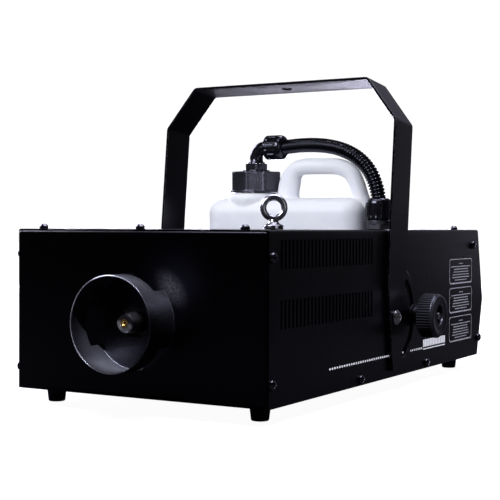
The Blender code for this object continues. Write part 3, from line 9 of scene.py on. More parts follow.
import bmesh
import bpy
import numpy as np
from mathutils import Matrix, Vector

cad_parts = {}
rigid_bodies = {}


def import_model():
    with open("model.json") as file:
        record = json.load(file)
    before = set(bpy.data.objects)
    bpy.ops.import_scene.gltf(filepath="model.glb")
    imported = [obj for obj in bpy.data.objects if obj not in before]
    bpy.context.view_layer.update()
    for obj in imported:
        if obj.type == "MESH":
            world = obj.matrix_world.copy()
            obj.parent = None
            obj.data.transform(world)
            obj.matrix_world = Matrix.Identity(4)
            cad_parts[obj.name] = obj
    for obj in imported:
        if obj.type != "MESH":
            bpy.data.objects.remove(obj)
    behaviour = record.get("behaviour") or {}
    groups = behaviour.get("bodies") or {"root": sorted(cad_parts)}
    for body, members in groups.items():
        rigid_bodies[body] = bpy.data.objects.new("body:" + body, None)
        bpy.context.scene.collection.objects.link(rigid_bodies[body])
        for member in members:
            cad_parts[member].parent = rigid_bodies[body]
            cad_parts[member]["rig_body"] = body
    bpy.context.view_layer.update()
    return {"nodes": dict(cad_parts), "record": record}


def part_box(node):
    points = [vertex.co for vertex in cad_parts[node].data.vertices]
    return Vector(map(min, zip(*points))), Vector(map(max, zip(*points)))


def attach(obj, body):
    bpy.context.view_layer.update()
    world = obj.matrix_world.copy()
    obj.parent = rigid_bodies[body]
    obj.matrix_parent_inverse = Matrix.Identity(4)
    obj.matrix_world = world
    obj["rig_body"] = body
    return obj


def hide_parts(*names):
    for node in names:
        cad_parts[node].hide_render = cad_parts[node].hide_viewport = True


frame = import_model()
TAU = 2 * math.pi
SIDES = (("left", -1), ("right", 1))


def corners(node):
    """Low and high corner of a node's box, to the micrometre."""
    return [[round(value, 6) for value in corner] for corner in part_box(node)]


def middle(node):
    """Centre of a node's box, to the micrometre."""
    return [round((low + high) / 2, 6) for low, high in zip(*corners(node))]


# Places and sizes of the frame's nodes
FRONT = corners("front_panel")[0][1]
SIDE_X, _, TOP = corners("top_cover")[1]
UNDER = corners("top_cover")[0][2]
YOKE_OUT_X = corners("yoke")[1][0]
PIVOT = middle("pivot_bolt_right")[1:]
STUD = middle("knob_stud_right")[1:]
SHROUD_Z = middle("nozzle_shroud")[2]
SHROUD_L = FRONT - corners("nozzle_shroud")[0][1]
NECK_X, BOTTLE_AXIS, _ = middle("bottle_cap")
CAP_LOW, CAP_TOP = (corner[2] for corner in corners("bottle_cap"))
CAP_H = CAP_TOP - CAP_LOW
GLAND = middle("gland_nut")[:2]

# The rear's two faces: y and z of the middle, y and z of the direction that it faces
REAR_UPPER = (0.305, 0.1346, 0.9781751, 0.2077823)
REAR_LOWER = (0.305, 0.0521, 0.9663006, -0.2574162)

SHOULDER = 0.2167       # top of the bottle's body
GAP = 0.0003            # clear space between neighbouring pieces
SUNK = 0.0001           # how far a screw's head reaches into its sheet
INK_THICK = 0.00005


def show(thing):
    """Puts an object in the scene."""
    bpy.context.scene.collection.objects.link(thing)


# -------- camera and hose route

def place_camera():
    """A long lens ahead of the machine's right front corner, at the height of its top."""
    data = bpy.data.cameras.new("camera")
    data.lens, data.sensor_width = 85.28, 36.0
    data.clip_start, data.clip_end = 0.05, 60.0
    camera = bpy.data.objects.new("camera", data)
    camera.location = (0.6745, -1.2144, 0.1835)
    camera.rotation_euler = (math.radians(88.87), math.radians(-0.233), math.radians(30.092))
    show(camera)
    bpy.context.scene.camera = camera


HOSE_R = 0.0081
HOSE_START = np.array([corners("elbow_nut")[1][0], *middle("elbow_nut")[1:]])
HOSE_END = np.array([*GLAND, corners("gland_nut")[1][2]])
HOSE_GRIP = 0.006       # length inside each nut
HOSE_PULL_X = 0.106     # how strongly the hose keeps its direction at the elbow
HOSE_PULL_Z = 0.032     # and at the gland
HOSE_RISE = 0.009
HOSE_LEAN = 0.005


def unit(vector):
    """The vector at length 1."""
    vector = np.asarray(vector, float)
    return vector / np.linalg.norm(vector, axis=-1, keepdims=True)


def spaced(path, count):
    """The path's points moved along it to equal distances: s_i = i·L / (count - 1)."""
    lengths = np.concatenate([[0.0], np.cumsum(np.linalg.norm(np.diff(path, axis=0), axis=1))])
    wanted = np.linspace(0.0, lengths[-1], count)
    return np.stack([np.interp(wanted, lengths, path[:, axis]) for axis in range(3)], axis=-1), lengths[-1]


def hose_route(count):
    """Straight lead in each nut, and B(t) = s³A + 3s²tP + 3st²Q + t³B, s = 1 - t, between them."""
    toward = (HOSE_END - HOSE_START) * (1.0, 1.0, 0.0)
    first = HOSE_START + unit(toward) * HOSE_PULL_X + (0.0, 0.0, HOSE_RISE)
    second = HOSE_END + (-HOSE_LEAN, 0.0, HOSE_PULL_Z)
    t = np.linspace(0.0, 1.0, 600)[:, None]
    s = 1.0 - t
    arc = s ** 3 * HOSE_START + 3 * s * s * t * first + 3 * s * t * t * second + t ** 3 * HOSE_END
    lead = HOSE_START - (HOSE_GRIP, 0.0, 0.0)
    tail = HOSE_END - (0.0, 0.0, HOSE_GRIP)
    return spaced(np.vstack([lead, arc, tail]), count)


# -------- finishes

EVEN = (1.0, 1.0, 1.0)      # no stretch of a pattern along any axis


def both_ways(operation):
    """An operator and its reflected form, each of which adds one maths node."""
    def plain(value, other):
        return value.look.maths(operation, value, other)

    def reflected(value, other):
        return value.look.maths(operation, other, value)
    return plain, reflected


class Value:
    """A number inside a material; arithmetic on it adds maths nodes."""

    def __init__(self, look, socket):
        self.look, self.socket = look, socket

    __add__, __radd__ = both_ways("ADD")
    __sub__, __rsub__ = both_ways("SUBTRACT")
    __mul__, __rmul__ = both_ways("MULTIPLY")
    __pow__, __rpow__ = both_ways("POWER")
    most, _ = both_ways("MAXIMUM")


class Nodes:
    """A node tree, emptied, and the ways to fill it."""

    def __init__(self, tree):
        self.tree = tree
        tree.nodes.clear()

    def feed(self, socket, value):
        """Links a value or a socket, or sets a plain number, colour or vector."""
        if isinstance(value, Value):
            value = value.socket
        if isinstance(value, bpy.types.NodeSocket):
            self.tree.links.new(value, socket)
        elif socket.type == "RGBA":
            socket.default_value = (*value[:3], 1.0)
        else:
            socket.default_value = value

    def add(self, kind, settings=(), sockets=()):
        """A node of that type: its settings first, then what its sockets are fed."""
        node = self.tree.nodes.new("ShaderNode" + kind)
        for name, value in dict(settings).items():
            setattr(node, name, value)
        for name, value in dict(sockets).items():
            self.feed(node.inputs[name], value)
        return node

    def shown(self, seen, felt):
        """'seen' to the camera, and 'felt' to light and reflections."""
        ray = self.add("LightPath").outputs["Is Camera Ray"]
        return self.add("MixShader", {}, {0: ray, 1: felt.outputs[0], 2: seen.outputs[0]}).outputs[0]


class Look(Nodes):
    """One procedural finish: a Principled shader and the nodes that feed it."""

    def __init__(self, name, **sockets):
        self.material = bpy.data.materials.new(name)
        self.material.use_nodes = True
        super().__init__(self.material.node_tree)
        self.shader = self.add("BsdfPrincipled")
        self.output = self.add("OutputMaterial", {}, {"Surface": self.shader.outputs[0]})
        self.place = self.add("TexCoord").outputs["Object"]
        self.set(**sockets)

    def set(self, **sockets):
        """Feeds the shader's sockets; an underscore in a name stands for a space."""
        for name, value in sockets.items():
            self.feed(self.shader.inputs[name.replace("_", " ")], value)
        return self

    def maths(self, operation, *terms):
        """The result of one maths node."""
        node = self.add("Math", {"operation": operation}, enumerate(terms))
        return Value(self, node.outputs[0])

    def noise(self, scale, detail=2.0, stretch=EVEN):
        """Fractal noise around 0.5 of the piece's own place, stretched per axis."""
        place = self.place
        if stretch != EVEN:
            place = self.add("Mapping", {}, {"Vector": place, "Scale": stretch}).outputs[0]
        node = self.add("TexNoise", {}, {"Vector": place, "Scale": scale, "Detail": detail})
        return Value(self, node.outputs[0])

    def cells(self, scale):
        """Distance to the nearest of scattered points."""
        node = self.add("TexVoronoi", {}, {"Vector": self.place, "Scale": scale})
        return Value(self, node.outputs["Distance"])

    def axis(self, index):
        """One coordinate of the piece's own place."""
        return Value(self, self.add("SeparateXYZ", {}, {0: self.place}).outputs[index])

    def smooth(self, value, low, high, to_low=0.0, to_high=1.0):
        """Smooth step of the value between two limits."""
        limits = enumerate((value, low, high, to_low, to_high))
        node = self.add("MapRange", {"interpolation_type": "SMOOTHSTEP"}, limits)
        return Value(self, node.outputs[0])

    def fall(self, value, low, high):
        """1 up to the lower limit, 0 past the upper one, and smooth between."""
        return self.smooth(value, low, high, 1.0, 0.0)

    def drift(self, scale, detail, low, high):
        """A number that wanders between two limits with noise of that scale."""
        return self.smooth(self.noise(scale, detail), 0.3, 0.7, low, high)

    def clouds(self, low, high):
        """Colour that changes slowly between two near shades."""
        return self.blend(self.smooth(self.noise(22.0, 3.0), 0.35, 0.65), low, high)

    def blend(self, factor, low, high):
        """Colour between two colours."""
        return self.add("Mix", {"data_type": "RGBA"}, {0: factor, 6: low, 7: high}).outputs[2]

    def bump(self, height, distance):
        """Small relief: 'distance' is what a height of 1 stands out."""
        node = self.add("Bump", {}, {"Height": height, "Distance": distance, "Strength": 1.0})
        return self.set(Normal=node.outputs[0])


COOL = (0.8, 0.8, 1.0)      # tint of the black finishes' highlights


def coat(name, low, high, rough=(0.28, 0.32), grain=0.00003, scale=900.0, specular=0.5, stretch=EVEN):
    """A black finish: two near shades by slow noise, uneven roughness, and fine relief."""
    look = Look(name, Specular_IOR_Level=specular, Specular_Tint=COOL)
    look.set(Base_Color=look.clouds(low, high), Roughness=look.drift(60.0, 4.0, *rough))
    return look.bump(look.noise(scale, 2.0, stretch), grain).material


PATCH_X, PATCH_Z = 0.0436, 0.1244       # middle of the patch beside the shroud painted grey as a reflection
PATCH_LONG, PATCH_WIDE = 28.0, 48.0     # 1 / its half axes, along its slope and across it


def front_coat():
    """The black coat with coarse relief, greyed as painted light in the lower part behind the shroud's
    mouth, and in a patch beside it that stands for a reflection of the shroud.
    """
    look = Look("coat_front", Specular_IOR_Level=0.28, Specular_Tint=COOL, Roughness=0.3)
    x, z = look.axis(0), look.axis(2)
    # painted light: the lower part of the panel inside the shroud's mouth
    inside = look.fall((x * x + (z - SHROUD_Z) ** 2.0) ** 0.5, 0.0455, 0.0462)
    inside = inside * look.fall(z, 0.066, 0.082)
    # painted reflection: a slanted oval patch beside the shroud
    right, up = x - PATCH_X, z - PATCH_Z
    long, wide = (right - up) * PATCH_LONG, (right + up) * PATCH_WIDE
    beside = look.fall((long * long + wide * wide) ** 0.5, 0.1, 1.1)
    grain = look.smooth(look.noise(850.0, 1.0), 0.38, 0.62, 0.35, 1.0)
    share = inside.most(beside) * grain
    look.set(Base_Color=look.blend(share, (0.0004, 0.0004, 0.0012), (0.021, 0.021, 0.026)))
    return look.bump(look.noise(800.0), 0.00022).material


def shroud_coat():
    """Dark grey coat of the shroud, greyed along its mouth and where it meets the panel: partly wear to the
    steel, partly painted highlight along those edges.
    """
    look = Look("coat_shroud", Specular_IOR_Level=0.5, Specular_Tint=COOL)
    depth = FRONT - look.axis(1)
    patchy = look.smooth(look.noise(26.0), 0.44, 0.6, 0.1, 1.0)
    # partly wear, partly painted highlight: grey along the mouth's edge and the joint with the panel
    mouth = look.smooth(depth, SHROUD_L - 0.0002, SHROUD_L) * patchy
    worn_and_highlit = mouth.most(look.fall(depth, 0.0007, 0.0013))
    shade = look.clouds((0.007, 0.007, 0.009), (0.015, 0.015, 0.018))
    look.set(Base_Color=look.blend(worn_and_highlit, shade, (0.2, 0.2, 0.23)),
             Roughness=look.drift(60.0, 4.0, 0.24, 0.36))
    return look.bump(look.noise(700.0), 0.00014).material


def slot_arc(look, low, high):
    """1 at that distance from the pivot, on the knob's side of it: where the yoke's curved slot runs."""
    soft = 0.0005
    y, z = look.axis(1) - PIVOT[0], look.axis(2) - PIVOT[1]
    out = (y * y + z * z) ** 0.5
    ring = look.smooth(out, low - soft, low + soft) * look.fall(out, high - soft, high + soft)
    return ring * look.smooth(y, 0.02, 0.0215)


def shaded_dull(look, share):
    """The black coat, painted darker as shade and made dull, by that share."""
    look.set(Base_Color=look.blend(share, (0.0005, 0.0005, 0.0012), (0.0002, 0.0002, 0.0004)),
             Roughness=look.smooth(look.noise(60.0, 4.0), 0.2, 0.8, 0.27, 0.31).most(share),
             Specular_IOR_Level=0.28, Specular_Tint=COOL)
    return look.bump(look.noise(700.0), 0.00004).material


def yoke_coat():
    """Painted shade: darker and dull on the walls of the curved slots, just under the legs' outer faces."""
    look = Look("coat_yoke")
    x = look.axis(0)
    under = look.fall(x * x, (YOKE_OUT_X - 0.0008) ** 2, (YOKE_OUT_X - 0.0004) ** 2)
    return shaded_dull(look, slot_arc(look, 0.0405, 0.0555) * under)


def cover_coat():
    """Painted shade: darker and dull on the side behind the curved slots, where it is seen through them."""
    look = Look("coat_cover")
    x, z = look.axis(0), look.axis(2) - PIVOT[1]
    side = look.smooth(x * x, (SIDE_X - 0.0012) ** 2, (SIDE_X - 0.0008) ** 2)
    # painted shade, kept to the height that the slots reach round the pivot
    washer = look.fall(z * z, 0.0425 ** 2, 0.044 ** 2)
    return shaded_dull(look, slot_arc(look, 0.0395, 0.062) * side * washer)


def painted_sparkle_edge():
    """Edges of the yoke: the coat with grey patches as painted sparkle highlights."""
    look = Look("edge_worn", Specular_IOR_Level=0.4)
    sparkle_patches = look.smooth(look.noise(420.0), 0.4, 0.6)
    shade = look.blend(sparkle_patches, (0.004, 0.004, 0.006), (0.075, 0.075, 0.085))
    return look.set(Base_Color=shade, Roughness=look.drift(200.0, 2.0, 0.28, 0.42)).material


def metal(name, low, high, rough, grain=0.00001, scale=500.0):
    """A bare metal: two near shades, uneven roughness and faint relief."""
    look = Look(name, Metallic=1.0)
    slow = look.noise(70.0, 3.0)
    look.set(Base_Color=look.blend(slow, low, high), Roughness=look.smooth(slow, 0.3, 0.7, *rough))
    return look.bump(look.noise(scale), grain).material


def milky():
    """Blow-moulded natural plastic: bluish white, a little waxy, faintly uneven."""
    look = Look("bottle_milky", Specular_IOR_Level=0.25, Subsurface_Weight=0.35,
                Subsurface_Radius=(0.8, 0.9, 1.0), Subsurface_Scale=0.006)
    slow = look.smooth(look.noise(30.0), 0.3, 0.7)
    low = look.smooth(look.axis(2), 0.181, 0.214)
    shade = look.blend(slow, (0.8, 0.81, 0.86), (0.86, 0.87, 0.91))
    look.set(Base_Color=look.blend(low * 0.6, shade, (0.9, 0.9, 0.93)),
             Roughness=look.drift(180.0, 3.0, 0.42, 0.55))
    return look.bump(look.noise(120.0), 0.00008).material


def board():
    """Circuit board: green lacquer with darker tracks and tin-coloured specks."""
    look = Look("board_lacquer", Specular_IOR_Level=0.5, Roughness=0.35)
    tracks = look.smooth(look.noise(160.0, 1.0, (1.0, 0.25, 1.0)), 0.48, 0.54)
    green = look.blend(tracks, (0.008, 0.09, 0.035), (0.02, 0.17, 0.07))
    specks = look.fall(look.cells(420.0), 0.16, 0.22)
    look.set(Base_Color=look.blend(specks, green, (0.55, 0.56, 0.55)))
    return look.bump(tracks, 0.00005).material


def clear_tube():
    """Natural tubing, cloudy along its length."""
    look = Look("tube_natural", Specular_IOR_Level=0.5, Subsurface_Weight=0.3, Subsurface_Scale=0.003)
    cloud = look.noise(150.0, 3.0)
    shade = look.blend(cloud, (0.62, 0.62, 0.57), (0.82, 0.83, 0.8))
    return look.set(Base_Color=shade, Roughness=look.smooth(cloud, 0.3, 0.7, 0.22, 0.4)).material


def ink():
    """White screen print, a little thin in places."""
    look = Look("print_white", Specular_IOR_Level=0.3, Roughness=0.6)
    thin = look.smooth(look.noise(900.0), 0.3, 0.46)
    return look.set(Base_Color=look.blend(thin, (0.62, 0.62, 0.64), (0.9, 0.9, 0.92))).material


def make_looks():
    """Every finish by name. Plain names are the record's slots."""
    return {
        "black_coat": coat("coat_black", (0.0003, 0.0003, 0.001), (0.0006, 0.0006, 0.0015),
                           grain=0.00006, scale=700.0, specular=0.28),
        "front_coat": front_coat(), "shroud_coat": shroud_coat(), "yoke_coat": yoke_coat(),
        "cover_coat": cover_coat(), "painted_sparkle_edge": painted_sparkle_edge(),
        "bare_steel": metal("steel_zinc", (0.36, 0.37, 0.39), (0.62, 0.62, 0.61), (0.22, 0.42)),
        "nozzle_steel": metal("steel_heated", (0.14, 0.14, 0.145), (0.28, 0.28, 0.285), (0.35, 0.5)),
        "eye_steel": metal("steel_polished", (0.27, 0.27, 0.3), (0.38, 0.38, 0.41), (0.2, 0.3)),
        "screw": metal("screw_blackened", (0.05, 0.05, 0.06), (0.16, 0.16, 0.18), (0.14, 0.26),
                       0.00004, 900.0),
        "chrome": metal("chrome_polished", (0.74, 0.75, 0.78), (0.84, 0.84, 0.86), (0.04, 0.12)),
        "cast_aluminium": metal("aluminium_cast", (0.42, 0.42, 0.43), (0.6, 0.6, 0.6), (0.4, 0.62),
                                0.00012, 420.0),
        "brass": metal("brass_turned", (0.55, 0.36, 0.13), (0.74, 0.54, 0.24), (0.2, 0.36)),
        "rubber": coat("rubber_foot", (0.006, 0.006, 0.006), (0.014, 0.014, 0.014), (0.42, 0.55),
                       0.0001, 700.0),
        "hose_plastic": coat("hose_black", (0.0012, 0.0012, 0.0018), (0.003, 0.003, 0.004), (0.13, 0.22),
                             0.00001, specular=0.6),
        "gloss_plastic": coat("plastic_gloss", (0.004, 0.004, 0.005), (0.008, 0.008, 0.01), (0.12, 0.22),
                              0.00001, specular=0.6),
        "knob_plastic": coat("plastic_knob", (0.005, 0.005, 0.0065), (0.009, 0.009, 0.011), (0.26, 0.36),
                             0.00002, specular=0.6),
        "gland_grey": coat("plastic_grey", (0.025, 0.025, 0.03), (0.045, 0.045, 0.05), (0.35, 0.5), 0.00004),
        "collar": coat("plastic_collar", (0.0008, 0.0008, 0.001), (0.002, 0.002, 0.002), (0.4, 0.5),
                       specular=0.3),
        "cap_plastic": coat("plastic_cap", (0.011, 0.011, 0.014), (0.018, 0.018, 0.022), (0.16, 0.28),
                            0.00012, 900.0, 0.6, (1.0, 1.0, 0.15)),
        "glass": coat("display_glass", (0.002, 0.004, 0.003), (0.004, 0.007, 0.005), (0.05, 0.1), 0.0),
        "milky_plastic": milky(), "clear_tube": clear_tube(), "board_green": board(), "ink": ink(),
    }


place_camera()
LOOKS = make_looks()
SLOT_OF = {part["node"]: part["material_slot"] for part in frame["record"]["subparts"]}


# -------- shapes

def quads(rows, columns, along=False):
    """Faces (i, j), (i, j+1), (i+1, j+1), (i+1, j) of closed rings; 'along' joins the last to the first."""
    here = np.arange(rows * columns).reshape(rows, columns)
    beside = np.roll(here, -1, 1)
    cells = np.stack([here, beside, np.roll(beside, -1, 0), np.roll(here, -1, 0)], axis=-1)
    return (cells if along else cells[:-1]).reshape(-1, 4)


def closed(points):
    """Skin over a grid of rings, its first and last ring closed with a fan to their middle."""
    rows, columns = points.shape[:2]
    hub = rows * columns
    vertices = np.vstack([points.reshape(-1, 3), points[0].mean(0), points[-1].mean(0)])
    first = np.arange(columns)
    last = first + hub - columns
    low = np.column_stack([np.full(columns, hub), np.roll(first, -1), first])
    high = np.column_stack([np.full(columns, hub + 1), last, np.roll(last, -1)])
    return vertices, [quads(rows, columns), low, high]


def looped(points):
    """Skin over a grid of rings whose last ring joins the first."""
    return points.reshape(-1, 3), [quads(*points.shape[:2], True)]


def at_height(outline, z):
    """The outline's points (x, y) at one height."""
    return np.insert(outline, 2, z, axis=1)


def over_bottle(line):
    """The line's points (x, z) in the upright plane through the bottle's middle."""
    return np.insert(line, 1, BOTTLE_AXIS, axis=1)


def slab(outline, thick):
    """A flat prism: the outline at heights 0 and 'thick', with both ends closed."""
    return closed(np.stack([at_height(outline, 0.0), at_height(outline, thick)]))


def moved(part, origin, up=(0.0, 0.0, 1.0), side=(1.0, 0.0, 0.0)):
    """A part's own (x, y, z) laid along side, up × side and up, from origin."""
    vertices, faces = part
    up = unit(up)
    side = unit(side - up * np.dot(side, up))
    return origin + vertices @ np.array([side, np.cross(up, side), up]), faces


def round_turn(steps):
    """Angles round one full turn."""
    return np.linspace(0.0, TAU, steps, endpoint=False)


def turned(profile, steps=48, shape=None):
    """Rings (r·cos a, r·sin a, h) of a profile of (r, h); 'shape' changes r and h by the angle."""
    profile = np.asarray(profile, float)
    angle = round_turn(steps)[None, :]
    radius = profile[:, :1] + 0 * angle
    height = profile[:, 1:] + 0 * angle
    if shape:
        radius, height = shape(radius, height, angle)
    return np.stack([radius * np.cos(angle), radius * np.sin(angle), height], axis=-1)


def swept(path, flat, radius, sides):
    """Rings c + r·(cos a·n + sin a·t × n) along a path that lies in the plane with normal n = flat."""
    along = unit(np.gradient(path, axis=0))
    normal = unit(flat)
    across = np.cross(along, normal)
    angle = round_turn(sides)[None, :, None]
    radius = np.broadcast_to(radius, len(path))[:, None, None]
    return path[:, None] + radius * (np.cos(angle) * normal + np.sin(angle) * across[:, None])


def eased(points, cut, steps=4):
    """A line whose inner corners C become arcs (1-t)²A + 2t(1-t)C + t²B, with A and B 'cut' from C."""
    points = np.asarray(points, float)
    t = np.linspace(0.0, 1.0, steps + 1)[:, None]
    line = [points[:1]]
    for before, corner, after in zip(points, points[1:], points[2:]):
        start, end = (corner + unit(way) * min(cut, 0.45 * np.linalg.norm(way))
                      for way in (before - corner, after - corner))
        line.append((1 - t) ** 2 * start + 2 * t * (1 - t) * corner + t ** 2 * end)
    return np.concatenate([*line, points[-1:]])


def rounded_outline(half_x, half_y, corner, steps):
    """Points round a rectangle whose corners are arcs of radius 'corner'."""
    angle = np.linspace(0.0, math.pi / 2, steps + 1)
    arc = np.stack([np.cos(angle), np.sin(angle)], axis=-1) * corner
    inner = np.array([half_x - corner, half_y - corner])
    return np.concatenate([arc @ np.array([[c, s], [-s, c]]) + inner * (c - s, c + s)
                           for c, s in ((1, 0), (0, 1), (-1, 0), (0, -1))])


def wave(value):
    """0 at whole numbers and 1 half way between them."""
    return 0.5 - 0.5 * np.cos(TAU * value)


def ramp(value, low, high):
    """Smooth step 3t² - 2t³ of t = (value - low) / (high - low), held to 0…1."""
    t = np.clip((value - low) / (high - low), 0.0, 1.0)
    return t * t * (3 - 2 * t)


def make(name, parts, look, stands_for=(), sharp=40.0, body="housing"):
    """A piece joined from parts (vertices, blocks of faces)."""
    vertices, faces, start = [], [], 0
    for points, blocks in parts:
        vertices.append(points)
        for block in blocks:
            faces += (block + start).tolist()
        start += len(points)
    mesh = bpy.data.meshes.new(name)
    mesh.from_pydata(np.concatenate(vertices).tolist(), [], faces)
    return finished(name, mesh, look, stands_for, sharp, body)


def skin(node, parts, look, sharp=40.0, body="housing"):
    """A piece that stands for one node."""
    return make(node + "_skin", parts, look, (node,), sharp, body)


def finished(name, mesh, look, stands_for, sharp, body):
    """The mesh as a shown piece, smooth up to the sharp angle, with its finish, body, slot and nodes."""
    mesh.shade_smooth()
    mesh.set_sharp_from_angle(angle=math.radians(sharp))
    mesh.materials.append(LOOKS[look])
    thing = bpy.data.objects.new(name, mesh)
    show(thing)
    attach(thing, body)
    if stands_for:
        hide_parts(*stands_for)
    return thing


def soften_edges(thing, width, angle):
    """Rounds the edges that turn by more than 'angle' degrees."""
    edge = thing.modifiers.new("edge", "BEVEL")
    edge.width, edge.segments, edge.limit_method = width, 2, "ANGLE"
    edge.angle_limit, edge.harden_normals, edge.use_clamp_overlap = math.radians(angle), True, False


def dressed(node, width, look=None):
    """A merged copy of a node's solid with its sharp edges rounded."""
    source, sharp, weld = frame["nodes"][node], 32.0, 0.00001
    work = bmesh.new()
    work.from_mesh(source.data)
    bmesh.ops.remove_doubles(work, verts=work.verts, dist=weld)
    bmesh.ops.dissolve_degenerate(work, edges=work.edges, dist=weld)
    bmesh.ops.dissolve_limit(work, angle_limit=math.radians(0.4), verts=work.verts, edges=work.edges)
    mesh = bpy.data.meshes.new(node + "_skin")
    work.to_mesh(mesh)
    work.free()
    slot = SLOT_OF[node]
    thing = finished(node + "_skin", mesh, look or slot, (node,), sharp, source["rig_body"])
    soften_edges(thing, width, sharp)


# -------- hose and its nuts

RIB_PITCH, RIB_HIGH, RIB_DEEP = 0.0039, 0.0006, 0.0017


def hose():
    """Ribbed tube: radius R + high - deep·(1 - wave(s / pitch)^0.7) at distance s along the route."""
    count = 760
    path, length = hose_route(count)
    along = np.linspace(0.0, length, count)
    radius = HOSE_R + RIB_HIGH - RIB_DEEP * (1.0 - wave(along / RIB_PITCH) ** 0.7)
    flat = np.cross(HOSE_END - HOSE_START, (0.0, 0.0, 1.0))
    tube = make("hose_ribbed", [closed(swept(path, flat, radius, 28))], "hose_plastic",
                stands_for=("hose",), sharp=60.0)


def dome_nut(node, radius, length, origin, up):
    """Sleeve that closes to a domed lip, with narrow grooves r - depth·ramp(wave(count·a / 2π))."""
    lip, rim, mouth, grooves, groove_deep, run_out = 0.0056, 0.0022, HOSE_R + 0.0004, 16, 0.0009, 0.0012
    wall_end = length - lip
    low_end, high_end = rim + 0.0004, wall_end - 0.001

    def shape(out, height, angle):
        reach = ramp(height, low_end, low_end + run_out) * (1 - ramp(height, high_end - run_out, high_end))
        reach = reach * (out > HOSE_R + 0.002)
        return out - groove_deep * reach * ramp(wave(grooves * angle / TAU), 0.55, 0.95), height
    profile = eased([(mouth, 0.0), (radius - 0.0008, 0.0), (radius, 0.0012), (radius, wall_end),
                     (radius - 0.001, length - lip * 0.4), (radius - 0.004, length),
                     (mouth, length - 0.0002)], 0.0014, 5)
    wall = np.column_stack([np.full(7, radius), np.linspace(rim, wall_end - 0.0012, 9)[1:-1]])
    low, high = profile[profile[:, 1] < rim], profile[profile[:, 1] > wall_end - 0.0016]
    bore = [(HOSE_R - 0.0006, length - 0.002), (HOSE_R - 0.0006, 0.001)]
    rings = turned(np.vstack([low, wall, high, bore]), 192, shape)
    skin(node, [moved(looped(rings), origin, up, (0.0, 1.0, 0.0))], "gloss_plastic")


def hexagon(angle):
    """Radius of a hexagon whose corners are at 1: cos 30° / cos(a - 30°), repeated every 60°."""
    return math.cos(TAU / 12) / np.cos(np.mod(angle, TAU / 6) - TAU / 12)


def hexagon_nut(corner_r, height, dome):
    """Hexagon with clipped corners and a chamfered top: h = H - dome·ramp(r)^1.5 towards the corners."""
    def shape(radius, level, angle):
        radius = radius * np.minimum(hexagon(angle), 0.97)
        drop = dome * ramp(radius, corner_r * 0.8, corner_r * 1.04) ** 1.5
        return radius, np.where(level > height * 0.9, level - drop, level)
    levels = [(0.94, 0.0), (1.0, 0.0006), (1.0, height * 0.45), (1.0, height)]
    levels += [(1.0 - 0.05 * i, height) for i in range(1, 9)]
    return closed(turned([(corner_r * r, h) for r, h in levels], 96, shape))


def bottle_fittings():
    """Washer and hexagon on the cap, glossy elbow, and the hose's nut on it."""
    washer_r, washer_h = 0.0162, 0.0018
    origin = (NECK_X, BOTTLE_AXIS, CAP_TOP + GAP)
    edge = [(washer_r - 0.0004, 0.0), (washer_r, 0.0), (washer_r, washer_h), (0.011, washer_h)]
    washer = closed(turned(eased(edge, 0.0006), 72))
    nut = moved(hexagon_nut(0.015, 0.0077, 0.0014), (0, 0, washer_h))
    skin("cap_nut", [moved(washer, origin), moved(nut, origin)], "gloss_plastic", sharp=30.0)
    axis_z, bend = HOSE_START[2], 0.0125
    turn = np.linspace(math.pi, math.pi / 2, 18)
    lead = [(NECK_X, z) for z in (0.2606, 0.2612, 0.2619, 0.2626, 0.265)]
    arc = np.stack([NECK_X + bend + bend * np.cos(turn), axis_z - bend + bend * np.sin(turn)], axis=-1)
    tail = [(x, axis_z) for x in (-0.0335, -0.03, -0.022, -0.0138)]
    path = over_bottle(np.vstack([lead, arc, tail]))
    radius = np.full(len(path), 0.008)
    radius[:4] = (0.0102, 0.0106, 0.0104, 0.0086)
    skin("elbow", [closed(swept(path, (0, 1, 0), radius, 40))], "gloss_plastic", sharp=45.0)
    near_end = (corners("elbow_nut")[0][0], BOTTLE_AXIS, axis_z)
    dome_nut("elbow_nut", 0.0148, 0.0245, near_end, (1, 0, 0))


def gland():
    """Hexagon and short neck of the gland in the cover, under its dome nut."""
    base, neck_r, neck_top = TOP + GAP, 0.0136, 0.0104
    body = hexagon_nut(0.015, 0.0064, 0.001)
    edge = [(neck_r - 0.0006, 0.0055), (neck_r, 0.006), (neck_r, neck_top), (0.0085, neck_top + 0.0002)]
    neck = closed(turned(eased(edge, 0.0004), 60))
    thread = closed(turned([(0.008, -0.012), (0.008, 0.001)], 40))
    skin("gland_body", [moved(part, (*GLAND, base)) for part in (body, neck, thread)],
         "gland_grey", 30.0)
    dome_nut("gland_nut", 0.015, 0.025, (*GLAND, base + neck_top + 0.0002), (0, 0, 1))


# -------- bottle and cap

def bottle_body():
    """Rounded block: rings of a rounded rectangle drawn in by arcs at the foot and the shoulder."""
    (_, _, low), (half_x, _, _) = corners("bottle")
    half_y, corner, foot, reach, drop = 0.034, 0.0245, 0.006, 0.026, 0.0195
    turn = np.linspace(0.0, math.pi / 2, 16)
    draw_in = np.concatenate([foot * (1 - np.sin(turn)), reach * (1 - np.cos(turn)) ** 1.15])
    height = np.concatenate([low + foot * (1 - np.cos(turn)), SHOULDER + 0.001 - drop * (1 - np.sin(turn))])
    rings = []
    for inset, z in zip(draw_in, height):
        outline = rounded_outline(half_x - inset, half_y - inset, max(corner - inset, 0.003), 10)
        rings.append(at_height(outline + (0.0, BOTTLE_AXIS), z))
    return closed(np.stack(rings))


